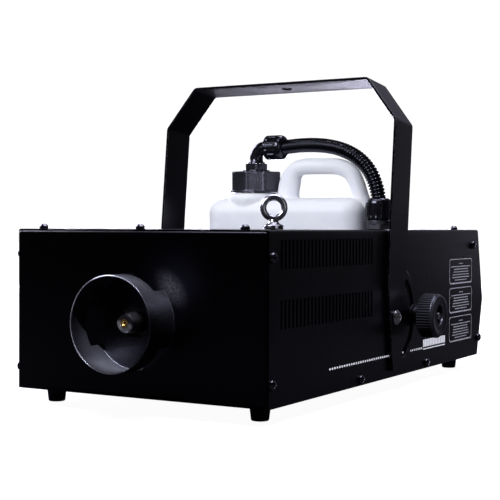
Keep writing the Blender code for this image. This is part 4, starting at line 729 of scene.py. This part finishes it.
def grip_path():
    """Catmull-Rom line through the handle's own points, from the neck's side over to the right end."""
    low, top, right = TOP + 0.022, TOP + 0.075, 0.0975
    points = np.array([(-0.003, low), (-0.0024, low + 0.02), (0.0004, top - 0.018), (0.005, top - 0.0075),
                       (0.016, top - 0.0006), (0.046, top), (0.066, top - 0.0014),
                       (right - 0.0175, top - 0.008), (right - 0.01, top - 0.02),
                       (right - 0.0036, top - 0.039), (right, low)])
    ends = np.vstack([2 * points[0] - points[1], points, 2 * points[-1] - points[-2]])
    t = np.linspace(0.0, 1.0, 12, endpoint=False)[:, None]
    line = []
    for a, b, c, d in zip(ends, ends[1:], ends[2:], ends[3:]):
        line.append(0.5 * (2 * b + (c - a) * t + (2 * a - 5 * b + 4 * c - d) * t ** 2
                           + (3 * b - a - 3 * c + d) * t ** 3))
    return spaced(over_bottle(np.vstack([*line, points[-1:]])), 90)[0]


def bottle():
    """Body, neck collar and handle run into one skin, softened where they meet."""
    collar = [(0.032, -0.008), (0.0335, 0.0004), (0.0318, 0.005), (0.0296, 0.0076), (0.02, 0.0078)]
    neck = closed(turned(eased(collar, 0.002), 96))
    path = grip_path()
    share = np.linspace(0.0, 1.0, len(path))
    foot = (1 - ramp(np.minimum(share, 1 - share), 0.0, 0.15)) ** 2
    tube = swept(path, (0, 1, 0), 0.0097 + 0.0024 * foot, 28)
    wider = (1 + 0.44 * (1 - ramp(share, 0.18, 0.34)))[:, None, None]
    widths = np.concatenate([wider, 0 * wider + 1, wider], axis=2)
    grip = closed(path[:, None] + (tube - path[:, None]) * widths)
    skins = [bottle_body(), moved(neck, (NECK_X, BOTTLE_AXIS, SHOULDER)), grip]
    jug = skin("bottle", skins, "milky_plastic", sharp=60.0)
    melt = jug.modifiers.new("melt", "REMESH")
    melt.mode, melt.voxel_size, melt.use_smooth_shade = "VOXEL", 0.0012, True
    soften = jug.modifiers.new("soften", "SMOOTH")
    soften.factor, soften.iterations = 0.5, 7


def cap():
    """Octagonal cap: flats between rounded corner ribs, a round flange and a softened top edge."""
    rib_r, flange_r, flange_h, turned_by = 0.0309, 0.032, 0.002, 0.087

    def shape(radius, height, angle):
        across = np.abs(np.mod(angle, TAU / 8) - TAU / 16)
        facet = np.minimum(0.0286 / np.cos(across), 0.0306)
        rib = ramp(across, math.radians(17.8), math.radians(19.0))
        wall = facet + (rib_r - facet) * rib
        faceted = ramp(height, flange_h + 0.0002, 0.003) * ramp(radius, 0.0255, 0.028)
        rise = 0.0012 * ramp(height, CAP_H - 0.003, CAP_H) * ramp(radius, 0.0265, 0.0285) * (rib - 1)
        return radius + (wall - rib_r) * faceted, height + rise
    profile = eased([(0.0308, 0.0), (flange_r, 0.0), (flange_r, flange_h), (rib_r, 0.0028),
                     (rib_r, CAP_H - 0.0002), (0.025, CAP_H)], 0.001, 3)
    wall = np.column_stack([np.full(8, rib_r), np.linspace(0.0045, CAP_H - 0.003, 8)])
    lead = profile[profile[:, 1] < 0.0042]
    top = profile[profile[:, 1] > CAP_H - 0.0028]
    dish = CAP_H - 0.0004
    disc = [(0.0225, CAP_H), (0.022, dish), (0.018, dish), (0.0176, CAP_H), (0.01, CAP_H)]
    rings = turned(np.vstack([lead, wall, top, disc]), 256, shape)
    lid = moved(closed(rings), (NECK_X, BOTTLE_AXIS, CAP_LOW), (0, 0, 1), (1, turned_by, 0))
    skin("bottle_cap", [lid], "cap_plastic", 38.0, "cap")


# -------- knobs, bolts and screws

def knob(side, sign):
    """Fluted rim with a bevel, a flat face, and an oval hollow round the end of the stud."""
    thick, flutes, flute_deep, hollow_deep = 0.0212, 50, 0.0018, 0.0085

    def shape(radius, height, angle):
        reach = ramp(height, 0.001, 0.0022) * (1 - ramp(height, thick - 0.0042, thick - 0.0036))
        reach = reach * ramp(radius, 0.0225, 0.0246)
        radius = radius - flute_deep * reach * wave(flutes * angle / TAU)
        x, y = radius * np.cos(angle), sign * radius * np.sin(angle)
        hollow = 1 - ramp(np.hypot(x / 0.0098, (y - 0.001) / 0.0116), 0.88, 1.02)
        return radius, height - hollow_deep * hollow * (height > thick * 0.6)
    outer = eased([(0.0102, 0.0), (0.0225, 0.0), (0.0252, 0.002), (0.0252, thick - 0.0034),
                   (0.0228, thick - 0.0002), (0.0218, thick)], 0.0006, 4)
    back = [(0.001, 0.0016), (0.01, 0.0016)]
    across = np.linspace(0.0, 1.0, 60)
    face = np.column_stack([np.linspace(0.0212, 0.001, 60), thick - 0.0008 * ramp(across, 0.0, 0.3)])
    rings = turned(np.vstack([back, outer, face]), 720, shape)
    place = (sign * (YOKE_OUT_X + 0.0131), *STUD)
    skin(f"clamp_knob_{side}", [moved(closed(rings), place, (sign, 0, 0), (0, 1, 0))], "knob_plastic",
         sharp=50.0, body=f"knob_{side}")


def button_bolt(side, sign):
    """Low domed head h = H·(1 - (r/R)^2.4) with a hexagon socket, and its shank."""
    head_r, high, edge, shank_r = 0.0086, 0.0056, 0.0009, 0.0039
    share = np.linspace(0.97, 0.06, 30)
    r = np.concatenate([[head_r - 0.0003, head_r, head_r], head_r * share])
    h = np.concatenate([[0.0, 0.0003, edge], edge + (high - edge) * (1 - share ** 2.4)])

    def shape(radius, height, angle):
        socket = 1 - ramp(radius / hexagon(angle), 0.0031, 0.0035)
        return radius, np.where(height > 0.002, height * (1 - socket) + 0.0022 * socket, height)
    head = closed(turned(np.column_stack([r, h]), 84, shape))
    low, high = corners(f"pivot_bolt_{side}")
    inner = abs(low[0] if sign > 0 else high[0]) - YOKE_OUT_X
    shank = closed(turned([(shank_r - 0.0003, inner), (shank_r, inner + 0.0004), (shank_r, 0.0006)], 32))
    place = (sign * (YOKE_OUT_X + GAP), *PIVOT)
    skin(f"pivot_bolt_{side}", [moved(part, place, (sign, 0, 0), (0, 1, 0)) for part in (head, shank)],
         "bare_steel", sharp=35.0)


def pan_screw(radius=0.0052, high=0.0042):
    """Domed head h = H·(1 - 0.55·(r/R)^3.2) with a cross recess that is deepest in its middle."""
    share = np.linspace(1.0, 0.03, 18)
    r = np.concatenate([[radius * 0.97, radius, radius], radius * share[1:]])
    h = np.concatenate([[0.0, 0.0003, high * 0.42], high * (1 - 0.55 * share[1:] ** 3.2)])

    def shape(out, height, angle):
        x, y = np.abs(out * np.cos(angle)), np.abs(out * np.sin(angle))
        thin, long = np.minimum(x, y), np.maximum(x, y)
        cross = (1 - ramp(thin, 0.00045, 0.00085)) * (1 - ramp(long, radius * 0.55, radius * 0.66))
        depth = cross * (high * 0.6 - 0.3 * long)
        return out, np.where(height > high * 0.4, height - depth, height)
    return closed(turned(np.column_stack([r, h]), 56, shape))


def screw_row(name, parts):
    """Screw heads of one face as one piece."""
    make(name, parts, "screw", sharp=32.0)


def screws():
    """Cover screws on both sides and on top, and the rear panel's screws."""
    side_spots = [(0.0091, 0.1393), (0.0081, 0.0222), (0.2026, 0.0061), (0.3887, 0.0064), (0.5507, 0.1454),
                  (0.5718, 0.0226)]
    top_spots = [(-0.121, 0.01), (0.0, 0.01), (0.119, 0.01), (-0.12, 0.557), (0.12, 0.557)]
    head = pan_screw()
    for side, sign in SIDES:
        screw_row(f"cover_screws_{side}", [
            moved(head, (sign * (SIDE_X - SUNK), FRONT + y, UNDER + z), (sign, 0, 0),
                  (0, math.cos(0.35 + 1.7 * i), math.sin(0.35 + 1.7 * i)))
            for i, (y, z) in enumerate(side_spots)])
    head = pan_screw(0.0046, 0.0052)
    screw_row("cover_screws_top", [
        moved(head, (x, FRONT + y, TOP - SUNK), (0, 0, 1), (math.cos(1.9 * i), math.sin(1.9 * i), 0))
        for i, (x, y) in enumerate(top_spots)])
    head = pan_screw(0.004, 0.0024)
    rows = ((REAR_UPPER, (0.036, -0.03)), (REAR_LOWER, (0.022, -0.024)))
    screw_row("rear_screws", [on_rear(head, face, x, y, -SUNK)
                              for face, heights in rows for x in (-0.138, 0.138) for y in heights])


def feet():
    """Tapered round feet with a rounded lower edge."""
    profile = eased([(0.0098, 0.0), (0.0104, -0.0003), (0.0086, -0.0154), (0.006, -0.0155)], 0.0018, 5)
    foot = closed(turned(profile, 56))
    for end in ("front", "rear"):
        for side, _ in SIDES:
            node = f"foot_{end}_{side}"
            skin(node, [moved(foot, (*middle(node)[:2], UNDER))], "rubber", sharp=35.0)


# -------- shroud, eye bolt

def shroud():
    """Ring of 1.4 mm sheet: cells of a grid (angle, depth), left out where the three windows are."""
    radius, window, half_leg, sheet_t = 0.0474, 0.017, 36.0, 0.0014
    legs = [7.0 + 120.0 * i for i in range(3)]
    edges = np.sort(np.mod([leg + half for leg in legs for half in (-half_leg, half_leg)], 360.0))
    angle = np.radians(np.concatenate([np.linspace(a, b, 18 if b - a < 60 else 22, endpoint=False)
                                       for a, b in zip(edges, [*edges[1:], edges[0] + 360.0])]))
    depth = np.array([GAP, 0.004, 0.009, 0.0135, window, 0.022, 0.03, 0.0385, SHROUD_L])
    rings = np.stack(np.broadcast_arrays(radius * np.cos(angle), radius * np.sin(angle), depth[:, None]), -1)
    middles = np.degrees((angle + np.append(angle[1:], angle[0] + TAU)) / 2)
    solid = np.any([np.abs(np.mod(middles - leg + 180.0, 360.0) - 180.0) < half_leg for leg in legs], 0)
    keep = ((depth[:-1, None] >= window) | solid).reshape(-1)
    part = rings.reshape(-1, 3), [quads(len(depth), len(angle))[keep]]
    ring = skin("nozzle_shroud", [moved(part, (0.0, FRONT, SHROUD_Z), (0, -1, 0))], "shroud_coat",
                30.0)
    sheet = ring.modifiers.new("sheet", "SOLIDIFY")
    sheet.thickness, sheet.offset = sheet_t, -1.0
    soften_edges(ring, 0.00045, 35.0)


def eye_bolt():
    """Forged ring, turned a little on a stout round foot, with its thread below."""
    x, y, _ = middle("eye_bolt")
    ring_r, wire_r, ring_z = 0.01005, 0.0031, 0.2014
    across, up = np.array([[0.875, 0.484, 0.0], [0.0, 0.0, 1.0]])
    foot = eased([(0.0026, -0.01), (0.003, -0.0095), (0.003, 0.0), (0.009, 0.0), (0.0093, 0.0006),
                  (0.0093, 0.004), (0.0082, 0.0048), (0.0058, 0.0056), (0.0048, 0.007),
                  (0.004, 0.0095)], 0.0006)
    turn = round_turn(72)[:, None]
    radial = np.cos(turn) * across + np.sin(turn) * up
    angle = round_turn(20)[None, :, None]
    flat = np.cross(across, up)
    wire = (ring_r + wire_r * np.cos(angle)) * radial[:, None] + wire_r * np.sin(angle) * flat
    parts = [moved(closed(turned(foot)), (x, y, TOP + GAP)), moved(looped(wire), (x, y, ring_z))]
    skin("eye_bolt", parts, "eye_steel")


# -------- printed marks

def on_rear(part, face, x, y, out):
    """A part laid on a rear face: x right as seen from behind, y up the slope, 'out' in front of it."""
    mid_y, mid_z, ny, nz = face
    return moved(part, (-x, mid_y - nz * y + ny * out, mid_z + ny * y + nz * out), (0, ny, nz), (-1, 0, 0))


def rectangle(x0, x1, y0, y1, corner, steps):
    """Outline between two corners, its own corners rounded."""
    return rounded_outline((x1 - x0) / 2, (y1 - y0) / 2, corner, steps) + ((x0 + x1) / 2, (y0 + y1) / 2)


def bar(x0, x1, y0, y1):
    """A printed bar between two corners."""
    corner, steps = 0.00005, 1
    return slab(rectangle(x0, x1, y0, y1, corner, steps), INK_THICK)


def frame_line(x0, x1, y0, y1, corner, line, foot):
    """A rounded rectangle's outline of width 'line', its lower side 'foot' wide."""
    outer = rectangle(x0, x1, y0, y1, corner, 6)
    inner = rectangle(x0 + line, x1 - line, y0 + foot, y1 - line, corner - line / 2, 6)
    return looped(np.stack([at_height(outer, 0.0), at_height(outer, INK_THICK),
                            at_height(inner, INK_THICK), at_height(inner, 0.0)]))


def side_print():
    """Dashed line, a row of blocks over a rule, and three fainter rounded frames with plain bars inside.

    Bars are given by y from the front and z from the underside.
    """
    def print_row(name, marks):
        place = (SIDE_X + 0.00003, FRONT, UNDER)
        make(name, [moved(mark, place, (1, 0, 0), (0, 1, 0)) for mark in marks], "ink")
    dashes = [bar(y, y + 0.0031, 0.0239, 0.026) for y in np.arange(0.1275, 0.376, 0.0057)]
    rule = bar(0.3785, 0.451, 0.0227, 0.0239)
    blocks = [bar(y, y + 0.0043, 0.0258, 0.0345) for y in np.arange(0.3787, 0.447, 0.0052)]
    print_row("print_dashes", [*dashes, rule, *blocks])
    marks, centre, bar_half = [], 0.5065, 0.00055
    for low in (0.0236, 0.06, 0.0964):
        high = low + 0.0318
        marks.append(frame_line(0.4655, 0.547, low, high, 0.0045, 0.001, 0.0018))
        marks.append(bar(0.4995, 0.5135, high - 0.0066, high - 0.0056))
        for i, y in enumerate(np.arange(high - 0.0098, low + 0.004, -0.0034)):
            half = 0.0345 - 0.0026 * ((i * 3) % 4) - 0.001 * i
            marks.append(bar(centre - half, centre + half, y - bar_half, y + bar_half))
    print_row("print_marks", marks)


def rear_marks():
    """Display glass, a bar with one to four ticks over each button, and a bar over each opening."""
    glass = slab(rounded_outline(0.0316, 0.0101, 0.0018, 5), 0.0003)
    make("display_glass", [on_rear(glass, REAR_UPPER, 0.0, 0.01, 0.0018)], "glass")
    over_frame, tick = 0.0026, bar(-0.0004, 0.0004, -0.0012, 0.0012)
    signs = []
    for i in range(4):
        x = (i - 1.5) * 0.023
        signs.append(on_rear(bar(-0.0036, 0.0036, -0.0004, 0.0004), REAR_UPPER, x, -0.0072, over_frame))
        signs += [on_rear(tick, REAR_UPPER, x + 0.0014 * j - 0.0007 * i, -0.0044, over_frame)
                  for j in range(i + 1)]
    signs += [on_rear(bar(-half, half, -0.0006, 0.0006), REAR_LOWER, x, 0.019, SUNK)
              for x, half in ((0.046, 0.006), (0.084, 0.006), (-0.096, 0.018), (-0.05, 0.005))]
    make("print_rear", signs, "ink")


# -------- the frame's own parts

def dress_nodes():
    """Merged copies with softened edges for the folded and moulded parts; finishes for the rest."""
    widths = {"base_pan": 0.0003, "front_panel": 0.0003, "top_cover": 0.00025, "rear_panel": 0.0003,
              "yoke": 0.0008, "bottle_well": 0.0003, "display_panel": 0.0004, "power_inlet": 0.0004,
              "fuse_holder": 0.0003, "fuse_cap": 0.0003, "switch_frame": 0.0004, "power_rocker": 0.0005,
              "control_socket_in": 0.0004, "control_socket_out": 0.0004, "heater_nozzle": 0.0004,
              "nozzle_tip": 0.0002, "heater_block": 0.0006}
    widths |= {f"menu_button_{i}": 0.0003 for i in (1, 2, 3, 4)}
    widths |= {f"{part}_{side}": 0.0003 for side, _ in SIDES
               for part in ("knob_collar", "knob_stud", "pivot_washer")}
    own = {"heater_nozzle": "nozzle_steel", "front_panel": "front_coat", "yoke": "yoke_coat",
           "top_cover": "cover_coat", "knob_collar_left": "collar", "knob_collar_right": "collar"}
    for node, width in widths.items():
        dressed(node, width, own.get(node))
    yoke = bpy.data.objects["yoke_skin"]
    # the yoke's rounded edges get the painted sparkle highlights
    yoke.data.materials.append(LOOKS["painted_sparkle_edge"])
    yoke.modifiers["edge"].material = 1
    for node, thing in frame["nodes"].items():
        if not thing.hide_render:
            thing.data.materials.clear()
            thing.data.materials.append(LOOKS[SLOT_OF[node]])


# -------- studio

WHITE_PARTS = ("bottle_skin", "bottle_cap_skin", "cap_nut_skin", "elbow_skin", "elbow_nut_skin",
               "hose_ribbed", "gland_body_skin", "gland_nut_skin", "eye_bolt_skin")
SHROUD_PARTS = ("nozzle_shroud_skin", "heater_nozzle_skin", "nozzle_tip_skin")
COLD, BLUISH = (0.82, 0.8, 1.0), (0.9, 0.92, 1.0)       # lamps for every piece, and for some pieces


def pieces_of(name, pieces, state="INCLUDE"):
    """A collection of some pieces for a lamp to light or to pass over, or to be shaded by."""
    group = bpy.data.collections.new(name)
    for piece in pieces:
        group.objects.link(bpy.data.objects[piece])
    for link in group.collection_objects:
        link.light_linking.link_state = state
    return group


def lamp(data, place, aim, power, lit=(), unlit=(), shading=()):
    """A lamp that points from its place to 'aim', unseen; it lights and is blocked by all or some."""
    data.energy, data.color = power, BLUISH if lit else COLD
    thing = bpy.data.objects.new(data.name, data)
    thing.location = place
    thing.rotation_euler = (Vector(aim) - Vector(place)).to_track_quat("-Z", "Y").to_euler()
    thing.visible_camera = False
    if lit or unlit:
        chosen = pieces_of(data.name + "_pieces", lit or unlit, "INCLUDE" if lit else "EXCLUDE")
        thing.light_linking.receiver_collection = chosen
    if shading:
        thing.light_linking.blocker_collection = pieces_of(data.name + "_shading", shading)
    show(thing)


def softbox(name, place, aim, size, power, **pieces):
    """A rectangular lamp."""
    data = bpy.data.lights.new(name, "AREA")
    data.shape, data.size, data.size_y = "RECTANGLE", size[0], size[1]
    lamp(data, place, aim, power, **pieces)


def spot(name, place, aim, angle, power, **pieces):
    """A narrow soft-edged lamp; 'angle' is its whole cone in degrees."""
    data = bpy.data.lights.new(name, "SPOT")
    data.spot_size, data.spot_blend, data.shadow_soft_size = math.radians(angle), 1.0, 0.02
    lamp(data, place, aim, power, **pieces)


def backdrop():
    """A world that is white to the camera and nearly black to everything it lights."""
    world = bpy.data.worlds.new("studio")
    world.use_nodes = True
    sky = Nodes(world.node_tree)
    seen = sky.add("Background", {}, {"Color": (1.0, 1.0, 1.0), "Strength": 1.05})
    felt = sky.add("Background", {}, {"Color": (0.95, 0.97, 1.0), "Strength": 0.02})
    sky.add("OutputWorld", {}, {"Surface": sky.shown(seen, felt)})
    bpy.context.scene.world = world
    bpy.context.scene.view_settings.view_transform = "Standard"


def studio():
    """Softboxes above and around, more for some pieces, and spots on the shroud and the panel beside it."""
    overhead = ((0.1, 0.15, 1.6), (0.0, 0.0, 0.1), (1.6, 1.5))
    softbox("above", *overhead, 50.0, unlit=["bottle_skin", "nozzle_shroud_skin", "hose_ribbed"])
    softbox("bottle_above", *overhead, 17.0, lit=["bottle_skin"])
    softbox("hose_above", (0.35, -0.3, 1.6), (0.05, 0.03, 0.25), (0.25, 0.25), 16.0, lit=["hose_ribbed"])
    softbox("behind", (0.0, 2.3, 0.17), (0.0, 0.1, 0.1), (1.3, 0.34), 1.0)
    softbox("backdrop", (0.0, 2.5, 0.95), (0.0, 0.1, 0.2), (2.4, 1.4), 2.5)
    softbox("low_left", (-1.3, 2.0, 0.14), (0.0, 0.0, 0.35), (1.6, 0.36), 55.0)
    from_left = ((-2.1, 0.5, 1.1), (0.0, 0.0, 0.2), (1.2, 1.0))
    softbox("left", *from_left, 60.0, unlit=["bottle_skin"])
    softbox("bottle_left", *from_left, 40.0, lit=["bottle_skin"])
    softbox("bottle_front", (-0.5, -1.8, 1.2), (0.03, 0.05, 0.2), (1.2, 0.9), 46.0, lit=WHITE_PARTS)
    softbox("bottle_right", (1.9, -1.1, 0.5), (0.03, 0.05, 0.2), (0.9, 1.1), 4.0, lit=WHITE_PARTS)
    softbox("cap_front", (0.25, -1.4, 0.55), (-0.03, 0.04, 0.24), (0.22, 0.5), 9.0,
            lit=["bottle_cap_skin", "cap_nut_skin"])
    softbox("knob_front", (0.28, -0.75, 1.2), (0.17, 0.06, 0.08), (0.16, 0.16), 40.0,
            lit=["clamp_knob_right_skin"])
    softbox("print_front", (1.6, -0.6, 0.5), (0.15, 0.03, 0.05), (0.6, 0.6), 22.0, lit=["print_dashes"])
    softbox("frames_front", (1.6, -0.6, 0.5), (0.15, 0.25, 0.08), (0.6, 0.6), 4.0, lit=["print_marks"])
    spot("shroud_inside", (0.3, -1.0, 1.4), (-0.016, -0.285, 0.06), 2.7, 1700.0, lit=SHROUD_PARTS)
    spot("shroud_outside", (0.3, -0.8, 1.4), (0.034, -0.3, 0.13), 2.0, 400.0, lit=["nozzle_shroud_skin"])
    spot("panel_patch", (0.45, -1.2, 0.55), (PATCH_X, -0.275, PATCH_Z), 3.6, 150.0,
         lit=["front_panel_skin"], shading=["front_panel_skin"])


def floor():
    """Pale floor round the machine that is pure white further out and dim to reflections."""
    look = Look("floor_pale", Roughness=0.9, Specular_IOR_Level=0.0, Base_Color=(0.3, 0.3, 0.3),
                Emission_Color=(1.0, 1.0, 1.0))
    x, y = look.axis(0), look.axis(1)
    far = look.smooth((x * x + y * y) ** 0.5, 0.35, 0.95)
    look.set(Emission_Strength=far * 0.2 + 0.96)
    dim = look.add("BsdfDiffuse", {}, {"Color": (0.05, 0.05, 0.052)})
    look.feed(look.output.inputs["Surface"], look.shown(look.shader, dim))
    mesh = bpy.data.meshes.new("floor")
    half, drop = 9, -0.0002
    mesh.from_pydata([(x, y, drop) for x, y in ((-half, -half), (half, -half), (half, half), (-half, half))],
                     [], [(0, 1, 2, 3)])
    mesh.materials.append(look.material)
    plane = bpy.data.objects.new("floor", mesh)
    show(plane)


hose()
bottle_fittings()
gland()
bottle()
cap()
for side, sign in SIDES:
    knob(side, sign)
    button_bolt(side, sign)
screws()
feet()
shroud()
eye_bolt()
side_print()
rear_marks()
dress_nodes()
backdrop()
studio()
floor()
bpy.context.view_layer.update()
